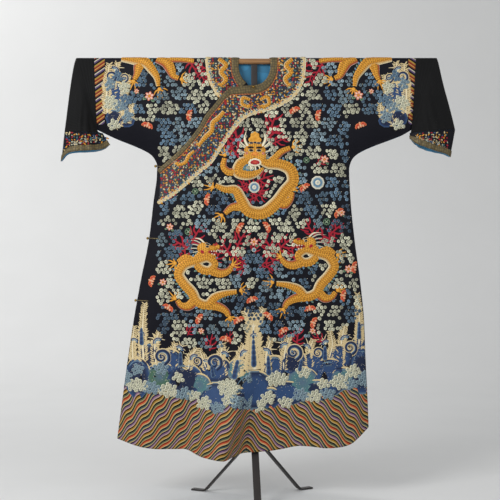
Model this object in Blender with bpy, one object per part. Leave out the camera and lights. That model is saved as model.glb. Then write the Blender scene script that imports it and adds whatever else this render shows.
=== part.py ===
"""Chinese dragon robe hung on a display stand, at its real size, in metres, with +Z up.

The robe is a round-necked silk coat cut flat, with sleeves in one with the body. Its right
front passes under a curved flap that closes at the side. It hangs by its shoulders from a
wooden bar on a steel post with three legs. The cloth pieces are walls: each is a grid of
points on the hanging cloth, and the same points moved out by the cloth's thickness.
"""

import math

import bmesh
import bpy
import numpy as np
from mathutils import Vector

# Sizes of the hanging robe
BAR_AXIS_Z = 1.5217
BAR_RADIUS = 0.010
CLOTH = 0.002
SEAM = 0.0003
LAY_GAP = 0.0007
DRAPE_RADIUS = BAR_RADIUS + SEAM
SHOULDER_ARC = DRAPE_RADIUS * math.pi / 2
HEM_RAISE_FROM = 0.86
HEM_Z = 0.165
WAIST_Z = 0.757
NECK_CENTRE_X = -0.007
NECK_HALF_WIDTH = 0.056
NECK_ROUND_Z = 1.510
NECK_DROP = 0.074
NECK_BOTTOM_Z = NECK_ROUND_Z - NECK_DROP
BACK_NECK_V = 0.010
UNDER_EDGE_X = -0.031
UNDER_HEM_Z = 0.62

# Trims
BAND_THICKNESS = 0.0012
FACING_THICKNESS = 0.0010
PIPING_WIDTH = 0.0035
TRIM_GAP = 0.0004
LINING_THICKNESS = 0.0008
BUTTON_RADIUS = 0.0048
LOOP_WIDTH = 0.0034
LOOP_THICKNESS = 0.0016

LAP_LIFT = CLOTH + LAY_GAP + BAND_THICKNESS + LAY_GAP
FRONT_TRIM_RISE = 0.0005
BACK_BAND_RISE = 0.0005
BACK_FACING_RISE = 0.0010
BUTTON_RISE = FRONT_TRIM_RISE + BAND_THICKNESS + LAY_GAP

# The stand
FRAME_Y = 0.045
POST_X = -0.008
POST_WIDTH = 0.022
POST_DEPTH = 0.012
BAR_LENGTH = 1.252
HUB_Z = 0.190
HUB_HEIGHT = 0.050
HUB_RADIUS = 0.020
LEG_WIDTH = 0.025
LEG_THICKNESS = 0.006
LEG_REACH = 0.247
FOOT_LENGTH = 0.052

# Legs: the way each points, in degrees anticlockwise from the front, seen from above
LEGS = {"front": 3.5, "rear_left": 123.5, "rear_right": 243.5}

# Side outline of the hanging robe, from the sleeve's end along the underarm and down the side
LEFT_OUTLINE = {
    "z": [1.2815, 1.249, 1.2295, 1.210, 1.1945, 1.177, 1.156, 1.1245, 1.037, 0.897, 0.757, 0.617, 0.477,
          0.337, 0.204],
    "x": [-0.5565, -0.488, -0.439, -0.394, -0.369, -0.355, -0.3475, -0.348, -0.359, -0.376, -0.404, -0.429,
          -0.450, -0.469, -0.4865],
}
RIGHT_OUTLINE = {
    "z": [1.2815, 1.2628, 1.2435, 1.2274, 1.2085, 1.191, 1.172, 1.1434, 1.037, 0.897, 0.757, 0.617, 0.477,
          0.337, 0.2425],
    "x": [0.541, 0.509, 0.460, 0.4165, 0.3728, 0.345, 0.331, 0.324, 0.329, 0.343, 0.362, 0.376, 0.3815,
          0.3885, 0.392],
}
SLEEVE_JOIN_TOP_X = {-1: -0.567, 1: 0.556}

# Height of the hem, across the front and across the back
FRONT_HEM = {
    "x": [-0.4865, -0.44, -0.387, -0.334, -0.25, -0.187, -0.143, -0.116, -0.09, -0.057, 0.0, 0.082, 0.152,
          0.25, 0.29, 0.325, 0.355, 0.392],
    "z": [0.204, 0.191, 0.179, 0.175, 0.175, 0.158, 0.153, 0.151, 0.157, 0.164, 0.166, 0.174, 0.184,
          0.178, 0.180, 0.189, 0.211, 0.2425],
}
BACK_HEM = {
    "x": [-0.4865, -0.40, -0.28, -0.12, 0.0, 0.12, 0.24, 0.33, 0.392],
    "z": [0.204, 0.184, 0.170, 0.160, 0.163, 0.160, 0.174, 0.203, 0.2425],
}

# How far the body stands off its middle plane, by height
BELLY = {
    "z": [0.10, 0.30, 0.60, 0.90, 1.15, 1.32, 1.46, 1.5217],
    "depth": [0.052, 0.046, 0.038, 0.033, 0.026, 0.014, 0.003, 0.0],
}

# Folds: where each starts at the top and meets the hem, how far it stands out there, and its half widths
FOLD_COLUMNS = ("top_x", "top_z", "hem_x", "depth", "left_width", "right_width")
FRONT_FOLDS = [
    (-0.020, 0.56, -0.118, 0.092, 0.085, 0.040),
    (-0.190, 0.62, -0.245, -0.014, 0.045, 0.045),
    (-0.330, 0.95, -0.372, 0.010, 0.060, 0.050),
    (0.090, 0.80, 0.135, -0.016, 0.065, 0.070),
    (0.220, 0.95, 0.270, 0.010, 0.055, 0.045),
    (0.330, 0.62, 0.350, 0.012, 0.030, 0.030),
]
BACK_FOLDS = [
    (-0.140, 0.80, -0.205, 0.062, 0.085, 0.075),
    (-0.020, 0.62, -0.055, -0.018, 0.050, 0.050),
    (0.050, 0.78, 0.105, 0.070, 0.070, 0.085),
    (0.210, 0.80, 0.262, 0.022, 0.060, 0.050),
    (-0.300, 0.90, -0.360, 0.018, 0.055, 0.055),
]

# Neck and flap edge of the front, the width of the band along it, and the outer edge of the wide facing
FRONT_TRIM = {
    "edge_x": [0.049, 0.0469, 0.0356, 0.0168, -0.007, -0.0508, -0.0914, -0.1208, -0.1453, -0.1768, -0.2013,
               -0.2328, -0.2678, -0.3028, -0.345],
    "edge_z": [1.5217, 1.490, 1.462, 1.443, 1.436, 1.4325, 1.4255, 1.401, 1.3695, 1.331, 1.289, 1.247,
               1.2085, 1.177, 1.141],
    "band": [0.0245, 0.0245, 0.026, 0.028, 0.029, 0.028, 0.024, 0.019, 0.017, 0.016, 0.016, 0.016, 0.016,
             0.016, 0.016],
    "face_x": [0.173, 0.170, 0.150, 0.105, 0.045, -0.005, -0.040, -0.068, -0.095, -0.121, -0.156, -0.198,
               -0.250, -0.300, -0.338],
    "face_z": [1.5217, 1.470, 1.415, 1.372, 1.346, 1.333, 1.316, 1.288, 1.2505, 1.212, 1.1595, 1.1245,
               1.079, 1.040, 1.020],
}
UNDER_TRIM = {
    "edge_x": [-0.063, -0.062, -0.0535, -0.0445, -0.0360],
    "edge_z": [1.5217, 1.496, 1.468, 1.4535, 1.4455],
    "band": [0.0245, 0.0245, 0.025, 0.026, 0.027],
    "face_x": [-0.180, -0.174, -0.162, -0.150, -0.137],
    "face_z": [1.5217, 1.4745, 1.437, 1.415, 1.395],
}
BACK_TRIM = {
    "edge_x": [-0.063, -0.050, -0.028, -0.007, 0.014, 0.036, 0.049],
    "edge_v": [0.000, 0.012, 0.016, 0.017, 0.016, 0.012, 0.000],
    "band_x": [-0.0875, -0.072, -0.036, -0.007, 0.022, 0.058, 0.0735],
    "band_v": [0.000, 0.026, 0.039, 0.041, 0.039, 0.026, 0.000],
    "face_x": [-0.180, -0.150, -0.080, -0.007, 0.066, 0.136, 0.173],
    "face_v": [0.000, 0.085, 0.130, 0.142, 0.130, 0.085, 0.000],
}

# Lower sleeve: each section runs from the ridge down to the lower seam as the sleeve turns over the bar's end
LEFT_SLEEVE = {
    "ridge_x": [-0.567, -0.600, -0.6275, -0.635, -0.6405, -0.6458, -0.652, -0.658, -0.664, -0.670],
    "ridge_z": [1.534, 1.534, 1.534, 1.520, 1.495, 1.464, 1.420, 1.372, 1.322, 1.275],
    "seam_x": [-0.5565, -0.5565, -0.5563, -0.556, -0.5555, -0.5545, -0.553, -0.550, -0.546, -0.540],
    "seam_z": [1.2815, 1.2803, 1.279, 1.2778, 1.2766, 1.2754, 1.2742, 1.273, 1.272, 1.2705],
    "depth": [0.004, 0.005, 0.007, 0.009, 0.012, 0.015, 0.018, 0.021, 0.024, 0.026],
}
RIGHT_SLEEVE = {
    "ridge_x": [0.556, 0.594, 0.6275, 0.6345, 0.6405, 0.6475, 0.657, 0.669, 0.682, 0.693],
    "ridge_z": [1.534, 1.534, 1.534, 1.520, 1.495, 1.463, 1.424, 1.380, 1.330, 1.284],
    "seam_x": [0.541, 0.541, 0.541, 0.541, 0.5408, 0.5404, 0.5398, 0.539, 0.5382, 0.5375],
    "seam_z": [1.2815, 1.2803, 1.279, 1.2778, 1.2766, 1.2754, 1.2742, 1.273, 1.2718, 1.2706],
    "depth": [0.004, 0.005, 0.007, 0.009, 0.012, 0.015, 0.018, 0.021, 0.024, 0.026],
}

# Hoof-shaped cuff: where its edge lies from the ridge to the lower seam, and how deep the cuff stands there
LEFT_CUFF = {
    "share": [0.0, 0.12, 0.30, 0.52, 0.74, 0.90, 1.0],
    "edge_x": [-0.681, -0.660, -0.628, -0.590, -0.555, -0.532, -0.516],
    "edge_z": [1.172, 1.198, 1.205, 1.207, 1.210, 1.217, 1.229],
}
RIGHT_CUFF = {
    "share": [0.0, 0.12, 0.30, 0.52, 0.74, 0.90, 1.0],
    "edge_x": [0.6755, 0.655, 0.622, 0.592, 0.566, 0.550, 0.540],
    "edge_z": [1.187, 1.198, 1.206, 1.216, 1.228, 1.239, 1.250],
}
CUFF_BAND = 0.020

# Buttons and their loops: centre of each button and far end of its loop in the front view
CLOSURES = {
    "name": ["neck", "chest", "underarm", "side_upper", "side_lower"],
    "button_x": [-0.0105, -0.1000, None, None, None],
    "button_z": [1.4290, 1.4385, 1.1550, 0.9030, 0.6860],
    "loop_x": [-0.0105, -0.0975, -0.3120, -0.3380, -0.3730],
    "loop_z": [1.4080, 1.3860, 1.1500, 0.9010, 0.6840],
}

# Rows of the panels' grids: how far along the cloth they lie over the bar, then their heights below it
SHOULDER_ROWS = [SHOULDER_ARC * k / 5 for k in range(1, 6)]
PANEL_HEIGHTS = [
    1.495, 1.465, 1.436, 1.40, 1.36, 1.315, 1.2765, 1.255, 1.235, 1.215, 1.195, 1.175, 1.155, 1.115, 1.05,
    0.975, 0.903, 0.83, WAIST_Z, 0.686, 0.61, 0.53, 0.45, 0.38, 0.31, 0.24,
]

# Colours and finishes of the materials
MATERIALS = {
    "ground_silk": ((0.022, 0.022, 0.032), 0.55, 0.0),
    "ribbed_silk": ((0.016, 0.016, 0.017), 0.6, 0.0),
    "cuff_silk": ((0.05, 0.07, 0.10), 0.6, 0.0),
    "gold_brocade": ((0.17, 0.14, 0.055), 0.5, 0.2),
    "facing_silk": ((0.20, 0.12, 0.04), 0.55, 0.0),
    "orange_piping": ((0.40, 0.13, 0.03), 0.6, 0.0),
    "blue_lining": ((0.02, 0.09, 0.15), 0.45, 0.0),
    "gilt_button": ((0.25, 0.15, 0.05), 0.35, 1.0),
    "wood": ((0.27, 0.13, 0.04), 0.45, 0.0),
    "black_steel": ((0.02, 0.018, 0.018), 0.45, 0.6),
}


def smooth_line(xs, ys, at):
    """A curve through a short table that doesn't overshoot between its rows (monotone cubic)."""
    xs, ys, at = (np.asarray(a, float) for a in (xs, ys, at))
    if xs[0] > xs[-1]:
        xs, ys = xs[::-1], ys[::-1]
    step, rise = np.diff(xs), np.diff(ys)
    slope = rise / step
    tangent = np.concatenate([[slope[0]], np.zeros(len(slope) - 1), [slope[-1]]])
    turning = slope[:-1] * slope[1:] > 0
    weight_a, weight_b = 2 * step[1:] + step[:-1], step[1:] + 2 * step[:-1]
    safe_a = np.where(turning, slope[:-1], 1.0)
    safe_b = np.where(turning, slope[1:], 1.0)
    mean = (weight_a + weight_b) / (weight_a / safe_a + weight_b / safe_b)
    tangent[1:-1] = np.where(turning, mean, 0.0)
    at = np.clip(at, xs[0], xs[-1])
    k = np.clip(np.searchsorted(xs, at, side="right") - 1, 0, len(step) - 1)
    t = (at - xs[k]) / step[k]
    start = (1 + 2 * t) * (1 - t) ** 2 * ys[k] + t * (1 - t) ** 2 * step[k] * tangent[k]
    end = t * t * (3 - 2 * t) * ys[k + 1] + t * t * (t - 1) * step[k] * tangent[k + 1]
    return start + end


def swell(share):
    """0 at an edge, rising to 1 at a share of 1 with a level finish."""
    return 1 - (1 - np.clip(share, 0, 1)) ** 2


def ease(share):
    """A smooth step from 0 to 1."""
    share = np.clip(share, 0, 1)
    return share * share * (3 - 2 * share)


def outline_points():
    """The side outlines as two close rows of points, for measuring distance from the edge."""
    rows = []
    for table in (LEFT_OUTLINE, RIGHT_OUTLINE):
        heights = np.linspace(table["z"][0], table["z"][-1], 120)
        widths = smooth_line(table["z"], table["x"], heights)
        below = np.linspace(0.01, 0.2, 8)
        slope = (widths[-1] - widths[-2]) / (heights[-2] - heights[-1])
        rows.append(np.column_stack([np.append(widths, widths[-1] + slope * below),
                                     np.append(heights, heights[-1] - below)]))
    return np.concatenate(rows)


OUTLINE = outline_points()


def edge_distance(x, z):
    """Distance in the front view from the underarm and side outline."""
    x, z = np.broadcast_arrays(np.asarray(x, float), np.asarray(z, float))
    points = np.column_stack([x.ravel(), z.ravel()])
    gaps = np.linalg.norm(points[:, None, :] - OUTLINE[None, :, :], axis=2)
    return gaps.min(axis=1).reshape(x.shape)


def side_x(side, z):
    """Where the robe's left or right side lies at a height, sleeve end included."""
    table = LEFT_OUTLINE if side < 0 else RIGHT_OUTLINE
    low_x, low_z = table["x"][0], table["z"][0]
    z = np.asarray(z, float)
    share = np.clip((z - low_z) / (BAR_AXIS_Z + DRAPE_RADIUS - low_z), 0, 1)
    join = low_x + share * (SLEEVE_JOIN_TOP_X[side] - low_x)
    return np.where(z > low_z, join, smooth_line(table["z"], table["x"], z))


def fold_depth(folds, x, z):
    """Sum of the folds: each is a smooth ridge whose height grows from its top down to the hem."""
    total = np.zeros(np.broadcast(x, z).shape)
    for row in folds:
        fold = dict(zip(FOLD_COLUMNS, row))
        share = (fold["top_z"] - z) / (fold["top_z"] - HEM_Z)
        centre = fold["top_x"] + (fold["hem_x"] - fold["top_x"]) * np.clip(share, 0, 1.2)
        spread = 0.55 + 0.45 * np.clip(share, 0, 1)
        width = np.where(x < centre, fold["left_width"], fold["right_width"]) * spread
        total = total + fold["depth"] * ease(share) * np.exp(-(((x - centre) / width) ** 2))
    return total


def hanging_depth(face, x, z):
    """How far the cloth's inner side stands from the middle plane, on the front (-1) or back (1)."""
    from_edge = edge_distance(x, z)
    belly = smooth_line(BELLY["z"], BELLY["depth"], z)
    folds = fold_depth(FRONT_FOLDS if face < 0 else BACK_FOLDS, x, z)
    round_off = DRAPE_RADIUS * swell(from_edge / 0.08)
    return SEAM / 2 + round_off + belly * swell(from_edge / 0.30) + folds * swell(from_edge / 0.07)


def cloth_base(face, x, v):
    """A point of the cloth's inner side, v metres along it from the top of the bar."""
    x, v = np.broadcast_arrays(np.asarray(x, float), np.asarray(v, float))
    angle = np.clip(v / DRAPE_RADIUS, 0, math.pi / 2)
    z = BAR_AXIS_Z - np.maximum(v - SHOULDER_ARC, 0) + DRAPE_RADIUS * np.cos(angle)
    hanging = hanging_depth(face, x, np.minimum(z, BAR_AXIS_Z))
    over_bar = DRAPE_RADIUS * np.sin(angle) + SEAM / 2 * v / SHOULDER_ARC
    y = face * np.where(v < SHOULDER_ARC, over_bar, hanging)
    return np.stack([x, y, z], axis=-1)


def cloth(face, x, v, out=0.0):
    """A point on the cloth, moved out from its inner side along the surface's normal."""
    step = 0.0004
    base = cloth_base(face, x, v)
    along = cloth_base(face, np.asarray(x) + step, v) - cloth_base(face, np.asarray(x) - step, v)
    v_down = np.asarray(v, float) + step
    down = cloth_base(face, x, v_down) - cloth_base(face, x, v_down - 2 * step)
    normal = np.cross(along, down) * face
    normal /= np.linalg.norm(normal, axis=-1, keepdims=True)
    return base + normal * np.asarray(out, float)[..., None]


def v_at(z):
    """Distance along the cloth from the bar's top down to a height below the bar's axis."""
    return SHOULDER_ARC + BAR_AXIS_Z - np.asarray(z, float)


def z_at(v):
    """Height of the cloth v metres along it from the bar's top."""
    return BAR_AXIS_Z - np.maximum(np.asarray(v, float) - SHOULDER_ARC, 0)


def lap_lift(x):
    """How much the outer flap stands off the panels' plane: from none at the centre seam to all of it."""
    return LAP_LIFT * ease((-0.006 - np.asarray(x, float)) / 0.023)


def add_object(name, mesh, material, smooth=False):
    """Links a mesh as a named object with its own material."""
    obj = bpy.data.objects.new(name, mesh)
    PARTS.objects.link(obj)
    colour, roughness, metallic = MATERIALS[material]
    finish = bpy.data.materials.get(material)
    if finish is None:
        finish = bpy.data.materials.new(material)
        finish.use_nodes = True
        shader = finish.node_tree.nodes["Principled BSDF"]
        shader.inputs["Base Color"].default_value = (*colour, 1.0)
        shader.inputs["Roughness"].default_value = roughness
        shader.inputs["Metallic"].default_value = metallic
        finish.diffuse_color = (*colour, 1.0)
    mesh.materials.append(finish)
    if smooth:
        mesh.shade_smooth()
    return obj


def wall(name, inner, outer, material, ring=False):
    """A closed wall between two grids of points of the same shape.

    A ring closes on itself across its columns.
    """
    rows, columns = inner.shape[:2]
    offset = np.array([0.0, FRAME_Y, 0.0])
    points = np.concatenate([inner.reshape(-1, 3), outer.reshape(-1, 3)]) + offset
    index = np.arange(rows * columns).reshape(rows, columns)
    across = np.concatenate([index, index[:, :1]], axis=1) if ring else index
    skin = np.stack([across[:-1, :-1], across[:-1, 1:], across[1:, 1:], across[1:, :-1]], axis=-1)
    skin = skin.reshape(-1, 4)
    second = rows * columns
    edges = [across[0], across[-1]] if ring else [index[0], index[-1], index[:, 0], index[:, -1]]
    rims = [np.stack([e[:-1], e[1:], e[1:] + second, e[:-1] + second], axis=-1) for e in edges]
    faces = np.concatenate([skin, skin + second, *rims])
    mesh = bpy.data.meshes.new(name)
    mesh.from_pydata(points.tolist(), [], faces.tolist())
    shape = bmesh.new()
    shape.from_mesh(mesh)
    bmesh.ops.recalc_face_normals(shape, faces=shape.faces)
    shape.to_mesh(mesh)
    shape.free()
    return add_object(name, mesh, material, smooth=True)


def row_heights(top_v, levels, table):
    """Rows of a panel as distances along the cloth, with the hem's own curve left to hem_warp."""
    rows = [v for v in levels if v > top_v + 0.002]
    return np.array([top_v, *rows, v_at(table)])


def hem_warp(face, x, v):
    """Moves the lowest rows of a panel so that the last one follows the curved hem."""
    table = FRONT_HEM if face < 0 else BACK_HEM
    hem_v = v_at(smooth_line(table["x"], table["z"], x))
    low = v_at(HEM_Z)
    share = ease((v - HEM_RAISE_FROM) / (low - HEM_RAISE_FROM))
    return v + (hem_v - low) * share


def split_rows(rows):
    """The rows of a tall panel as two runs, above and below the waist, with a seam gap between them."""
    waist = float(v_at(WAIST_Z))
    upper = [v for v in rows if v < waist - 0.002]
    lower = [v for v in rows if v > waist + 0.002]
    return np.array([*upper, waist - SEAM / 2]), np.array([waist + SEAM / 2, *lower])


def panel(name, face, rows, from_x, to_x, columns, material, lift=None):
    """A cloth panel. Each row runs between two edges, given as functions of the height.

    A lifted panel has its columns closer together towards the seam where the lift begins.
    """
    share = np.linspace(0, 1, columns)
    if lift is not None:
        share = 1 - (1 - share) ** 1.7
    grid_x, grid_v = [], []
    for v in rows:
        low, high = float(from_x(z_at(v))), float(to_x(z_at(v)))
        for _ in range(4):
            low = float(from_x(z_at(hem_warp(face, low, v))))
            high = float(to_x(z_at(hem_warp(face, high, v))))
        x = low + (high - low) * share
        grid_x.append(x)
        grid_v.append(hem_warp(face, x, v))
    grid_x, grid_v = np.array(grid_x), np.array(grid_v)
    off = np.zeros_like(grid_x) if lift is None else lift(grid_x)
    inner = cloth(face, grid_x, grid_v, off)
    outer = cloth(face, grid_x, grid_v, off + CLOTH)
    for end in (0, -1):
        inner[:, end, 0] = outer[:, end, 0] = grid_x[:, end]
    return wall(name, inner, outer, material)


def tall_panel(name, face, rows, from_x, to_x, columns, lift=None):
    """A panel from shoulder to hem, in two pieces that meet at the waist."""
    for piece, piece_rows in zip((name, name + "_skirt"), split_rows(rows)):
        panel(piece, face, piece_rows, from_x, to_x, columns, "ground_silk", lift)


def neck_x(side, z):
    """The front neckline's left or right edge at a height: upright sides over half an ellipse."""
    drop = np.clip((NECK_ROUND_Z - z) / NECK_DROP, 0, 1)
    return NECK_CENTRE_X + side * NECK_HALF_WIDTH * math.sqrt(1 - drop * drop)


def flap_edge_x(z):
    """The outer flap's curved top edge, from the neck to the underarm, and the side below it."""
    edge_x, edge_z = FRONT_TRIM["edge_x"][4:], FRONT_TRIM["edge_z"][4:]
    if z > edge_z[-1]:
        return max(smooth_line(edge_z, edge_x, z), side_x(-1, z))
    return side_x(-1, z)


def under_edge_x(z):
    """The under front's inner edge: the neckline, and a straight edge below it."""
    if z > NECK_BOTTOM_Z:
        return min(neck_x(-1, z), UNDER_EDGE_X)
    return UNDER_EDGE_X


def make_panels():
    """Left front, outer flap, under front and the two back halves, with a seam gap between neighbours."""
    half = SEAM / 2
    levels = SHOULDER_ROWS + [float(v_at(z)) for z in PANEL_HEIGHTS]
    full_rows = row_heights(half, levels, HEM_Z)
    tall_panel("front_left", -1, full_rows, lambda z: max(neck_x(1, z), half) if z > NECK_BOTTOM_Z else half,
               lambda z: side_x(1, z), 13)
    lap_top = [float(v_at(z)) for z in (FRONT_TRIM["edge_z"][4] - 0.0008, 1.4315, 1.4265, 1.418)]
    lap_rows = np.array([*lap_top, *row_heights(float(v_at(1.406)), levels, HEM_Z)])
    tall_panel("outer_flap", -1, lap_rows, flap_edge_x, lambda z: -half, 16, lap_lift)
    under_rows = row_heights(half, [v for v in levels if v < v_at(UNDER_HEM_Z) - 0.02], UNDER_HEM_Z)
    panel("under_front", -1, under_rows, lambda z: side_x(-1, z), under_edge_x, 12, "ground_silk")
    tall_panel("back_right", 1, full_rows, lambda z: side_x(-1, z), lambda z: back_centre(-1, z, half), 14)
    tall_panel("back_left", 1, full_rows, lambda z: back_centre(1, z, half), lambda z: side_x(1, z), 14)


def back_centre(side, z, half):
    """The back halves meet at the centre seam, and part above it for the shallow back neckline."""
    if z > BAR_AXIS_Z - 0.000001:
        return NECK_CENTRE_X + side * NECK_HALF_WIDTH
    return side * half


def along_table(table, names, count, crowd_ends=False):
    """Steps along a trim's table, even or closer at both ends, as a dict of columns."""
    last = len(table[names[0]]) - 1
    at = np.linspace(0, last, count)
    if crowd_ends:
        at = last * (0.5 - 0.5 * np.cos(np.linspace(0, math.pi, count)))
    index = np.arange(last + 1)
    return {name: smooth_line(index, table[name], at) for name in names}


def left_normal(x, z):
    """Unit normals on the left of a path."""
    dx, dz = np.gradient(x), np.gradient(z)
    size = np.hypot(dx, dz)
    return -dz / size, dx / size


def strip(name, face, inner_x, inner_v, outer_x, outer_v, columns, thickness, material, lift=None, rise=0.0):
    """A trim that lies on the panels: lines across it run from its inner to its outer edge."""
    share = np.linspace(0, 1, columns)
    x = inner_x[:, None] + (outer_x - inner_x)[:, None] * share
    v = inner_v[:, None] + (outer_v - inner_v)[:, None] * share
    base = CLOTH + LAY_GAP + rise + (0.0 if lift is None else lift(x))
    base = np.broadcast_to(base, x.shape)
    return wall(name, cloth(face, x, v, base), cloth(face, x, v, base + thickness), material)


def over_shoulder(columns):
    """Adds the rows that carry a trim up over the bar, at the panels' own rows there."""
    rows = [SEAM / 2, *SHOULDER_ROWS[:-1]]
    return {name: np.concatenate([rows if name.endswith("_v") else np.full(len(rows), value[0]), value])
            for name, value in columns.items()}


def trim_columns(table, count):
    """Edges of the band, piping and facing along the front or under front, over the shoulder included."""
    row = along_table(table, ("edge_x", "edge_z", "band", "face_x", "face_z"), count)
    nx, nz = left_normal(row["edge_x"], row["edge_z"])
    sign = 1.0 if table is FRONT_TRIM else -1.0
    nx, nz = nx * sign, nz * sign
    nx[0], nz[0] = sign, 0.0
    columns = {"edge_x": row["edge_x"], "edge_v": v_at(row["edge_z"])}
    for name, more in (("band", 0.0), ("piping_in", TRIM_GAP), ("piping_out", TRIM_GAP + PIPING_WIDTH),
                       ("face_in", 2 * TRIM_GAP + PIPING_WIDTH)):
        columns[name + "_x"] = row["edge_x"] + nx * (row["band"] + more)
        columns[name + "_v"] = v_at(row["edge_z"] + nz * (row["band"] + more))
    columns["face_x"], columns["face_v"] = row["face_x"], v_at(row["face_z"])
    return over_shoulder(columns)


def make_trims():
    """Brocade bands, orange piping and the wide embroidered facing, on the front, under front and back."""
    front = trim_columns(FRONT_TRIM, 43)
    under = trim_columns(UNDER_TRIM, 9)
    back = along_table(BACK_TRIM, tuple(BACK_TRIM), 27, crowd_ends=True)
    for name in ("edge_v", "band_v", "face_v"):
        back[name][[0, -1]] = SEAM / 2
    back["edge_v"] = np.maximum(back["edge_v"], SEAM / 2)
    for place, row, lift, rise in (("front", front, lap_lift, FRONT_TRIM_RISE), ("under", under, None, 0.0)):
        strip("band_" + place, -1, row["edge_x"], row["edge_v"], row["band_x"], row["band_v"], 4,
              BAND_THICKNESS, "gold_brocade", lift, rise)
        strip("piping_" + place, -1, row["piping_in_x"], row["piping_in_v"], row["piping_out_x"],
              row["piping_out_v"], 2, BAND_THICKNESS, "orange_piping", lift, rise)
        strip("facing_" + place, -1, row["face_in_x"], row["face_in_v"], row["face_x"], row["face_v"], 5,
              FACING_THICKNESS, "facing_silk", lift, rise)
    strip("band_back", 1, back["edge_x"], back["edge_v"], back["band_x"], back["band_v"], 5, BAND_THICKNESS,
          "gold_brocade", rise=BACK_BAND_RISE)
    start_x = back["band_x"] + (back["face_x"] - back["band_x"]) * 0.05
    start_v = np.maximum(back["band_v"] + (back["face_v"] - back["band_v"]) * 0.05, SEAM / 2)
    strip("facing_back", 1, start_x, start_v, back["face_x"], back["face_v"], 8, FACING_THICKNESS,
          "facing_silk", rise=BACK_FACING_RISE)


def make_lining():
    """The blue lining that shows inside the neck, on the inner side of the upper back."""
    x = np.linspace(-0.115, 0.101, 9)[None, :]
    v = np.array([SHOULDER_ARC + 0.007, 0.04, 0.07, 0.10, 0.13, 0.16, 0.19, 0.22])[:, None]
    x, v = np.broadcast_arrays(x, v)
    outer = cloth(1, x, v, np.full(x.shape, -SEAM - 0.0003))
    inner = cloth(1, x, v, np.full(x.shape, -SEAM - 0.0003 - LINING_THICKNESS))
    wall("neck_lining", inner, outer, "blue_lining")


def sleeve_ring(ridge, seam, depth, count=9):
    """A flat loop from the ridge down the front to the lower seam and back, as inner points and normals."""
    ridge, seam = np.asarray(ridge, float), np.asarray(seam, float)
    length = np.linalg.norm(ridge - seam)
    turn = np.linspace(0, math.pi / 2, len(SHOULDER_ROWS) + 1)
    share = np.sin(np.linspace(0, math.pi / 2, count))[1:]
    straight = DRAPE_RADIUS + share * (length - DRAPE_RADIUS)
    down = np.concatenate([DRAPE_RADIUS * (1 - np.cos(turn)), straight])
    top = np.concatenate([DRAPE_RADIUS * np.sin(turn), np.full(count - 1, DRAPE_RADIUS)])
    half = top * swell((length - down) / 0.08) + depth * np.sin(math.pi * down / length) ** 2
    down = np.concatenate([down, down[-2:0:-1]])
    y = np.concatenate([-half, half[-2:0:-1]])
    line = (seam - ridge) / length
    points = np.column_stack([ridge[0] + line[0] * down, y, ridge[1] + line[1] * down])
    flat = np.column_stack([down, y])
    tangent = np.roll(flat, -1, axis=0) - np.roll(flat, 1, axis=0)
    normal = np.column_stack([tangent[:, 1], -tangent[:, 0]])
    normal /= np.linalg.norm(normal, axis=1, keepdims=True)
    normal *= np.sign((normal * (flat - flat.mean(axis=0))).sum())
    out = np.column_stack([line[0] * normal[:, 0], normal[:, 1], line[1] * normal[:, 0]])
    return points, out


def make_sleeves():
    """The ribbed lower sleeves, turned down over the bar's ends, with their hoof cuffs and brocade edges."""
    for side, table, cuff in (("right", LEFT_SLEEVE, LEFT_CUFF), ("left", RIGHT_SLEEVE, RIGHT_CUFF)):
        rings, outs = [], []
        for k in range(len(table["depth"])):
            ridge = (table["ridge_x"][k], table["ridge_z"][k] - CLOTH)
            points, out = sleeve_ring(ridge, (table["seam_x"][k], table["seam_z"][k]), table["depth"][k])
            rings.append(points)
            outs.append(out)
        rings, outs = np.array(rings), np.array(outs)
        outward = -1.0 if side == "right" else 1.0
        rings[0, :, 0] += outward * SEAM
        wall("lower_sleeve_" + side, rings, rings + outs * CLOTH, "ribbed_silk", ring=True)
        make_cuff(side, rings[-1], outs[-1], cuff)


def make_cuff(side, ring, out, cuff):
    """A hoof cuff: the sleeve's last ring carried down to a curved edge, with a brocade band round it."""
    seam_to_ridge = ring[0] - ring[len(ring) // 2]
    length = np.linalg.norm(seam_to_ridge)
    share = np.linalg.norm((ring - ring[0])[:, [0, 2]], axis=1) / length
    edge_x = smooth_line(cuff["share"], cuff["edge_x"], share)
    edge_z = smooth_line(cuff["share"], cuff["edge_z"], share)
    start = ring + np.array([0.0, 0.0, -SEAM])
    edge = np.column_stack([edge_x, ring[:, 1] * 1.12, edge_z])
    drop = np.linalg.norm(edge - start, axis=1)[:, None]
    band_top = 1 - np.minimum(CUFF_BAND / drop, 0.6)
    level = np.stack([0 * drop, band_top / 2, band_top, np.ones_like(drop)])
    inner = start + (edge - start) * level
    flat = out * np.array([1.0, 1.0, 0.0])
    flat /= np.linalg.norm(flat, axis=1, keepdims=True)
    turned = out + (flat - out) * level
    turned /= np.linalg.norm(turned, axis=2, keepdims=True)
    wall("cuff_" + side, inner, inner + turned * CLOTH, "cuff_silk", ring=True)
    band, away = inner[2:], turned[2:]
    low = CLOTH + 1.6 * LAY_GAP
    high = low + BAND_THICKNESS
    wall("cuff_band_" + side, band + away * low, band + away * high, "gold_brocade", ring=True)


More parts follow.
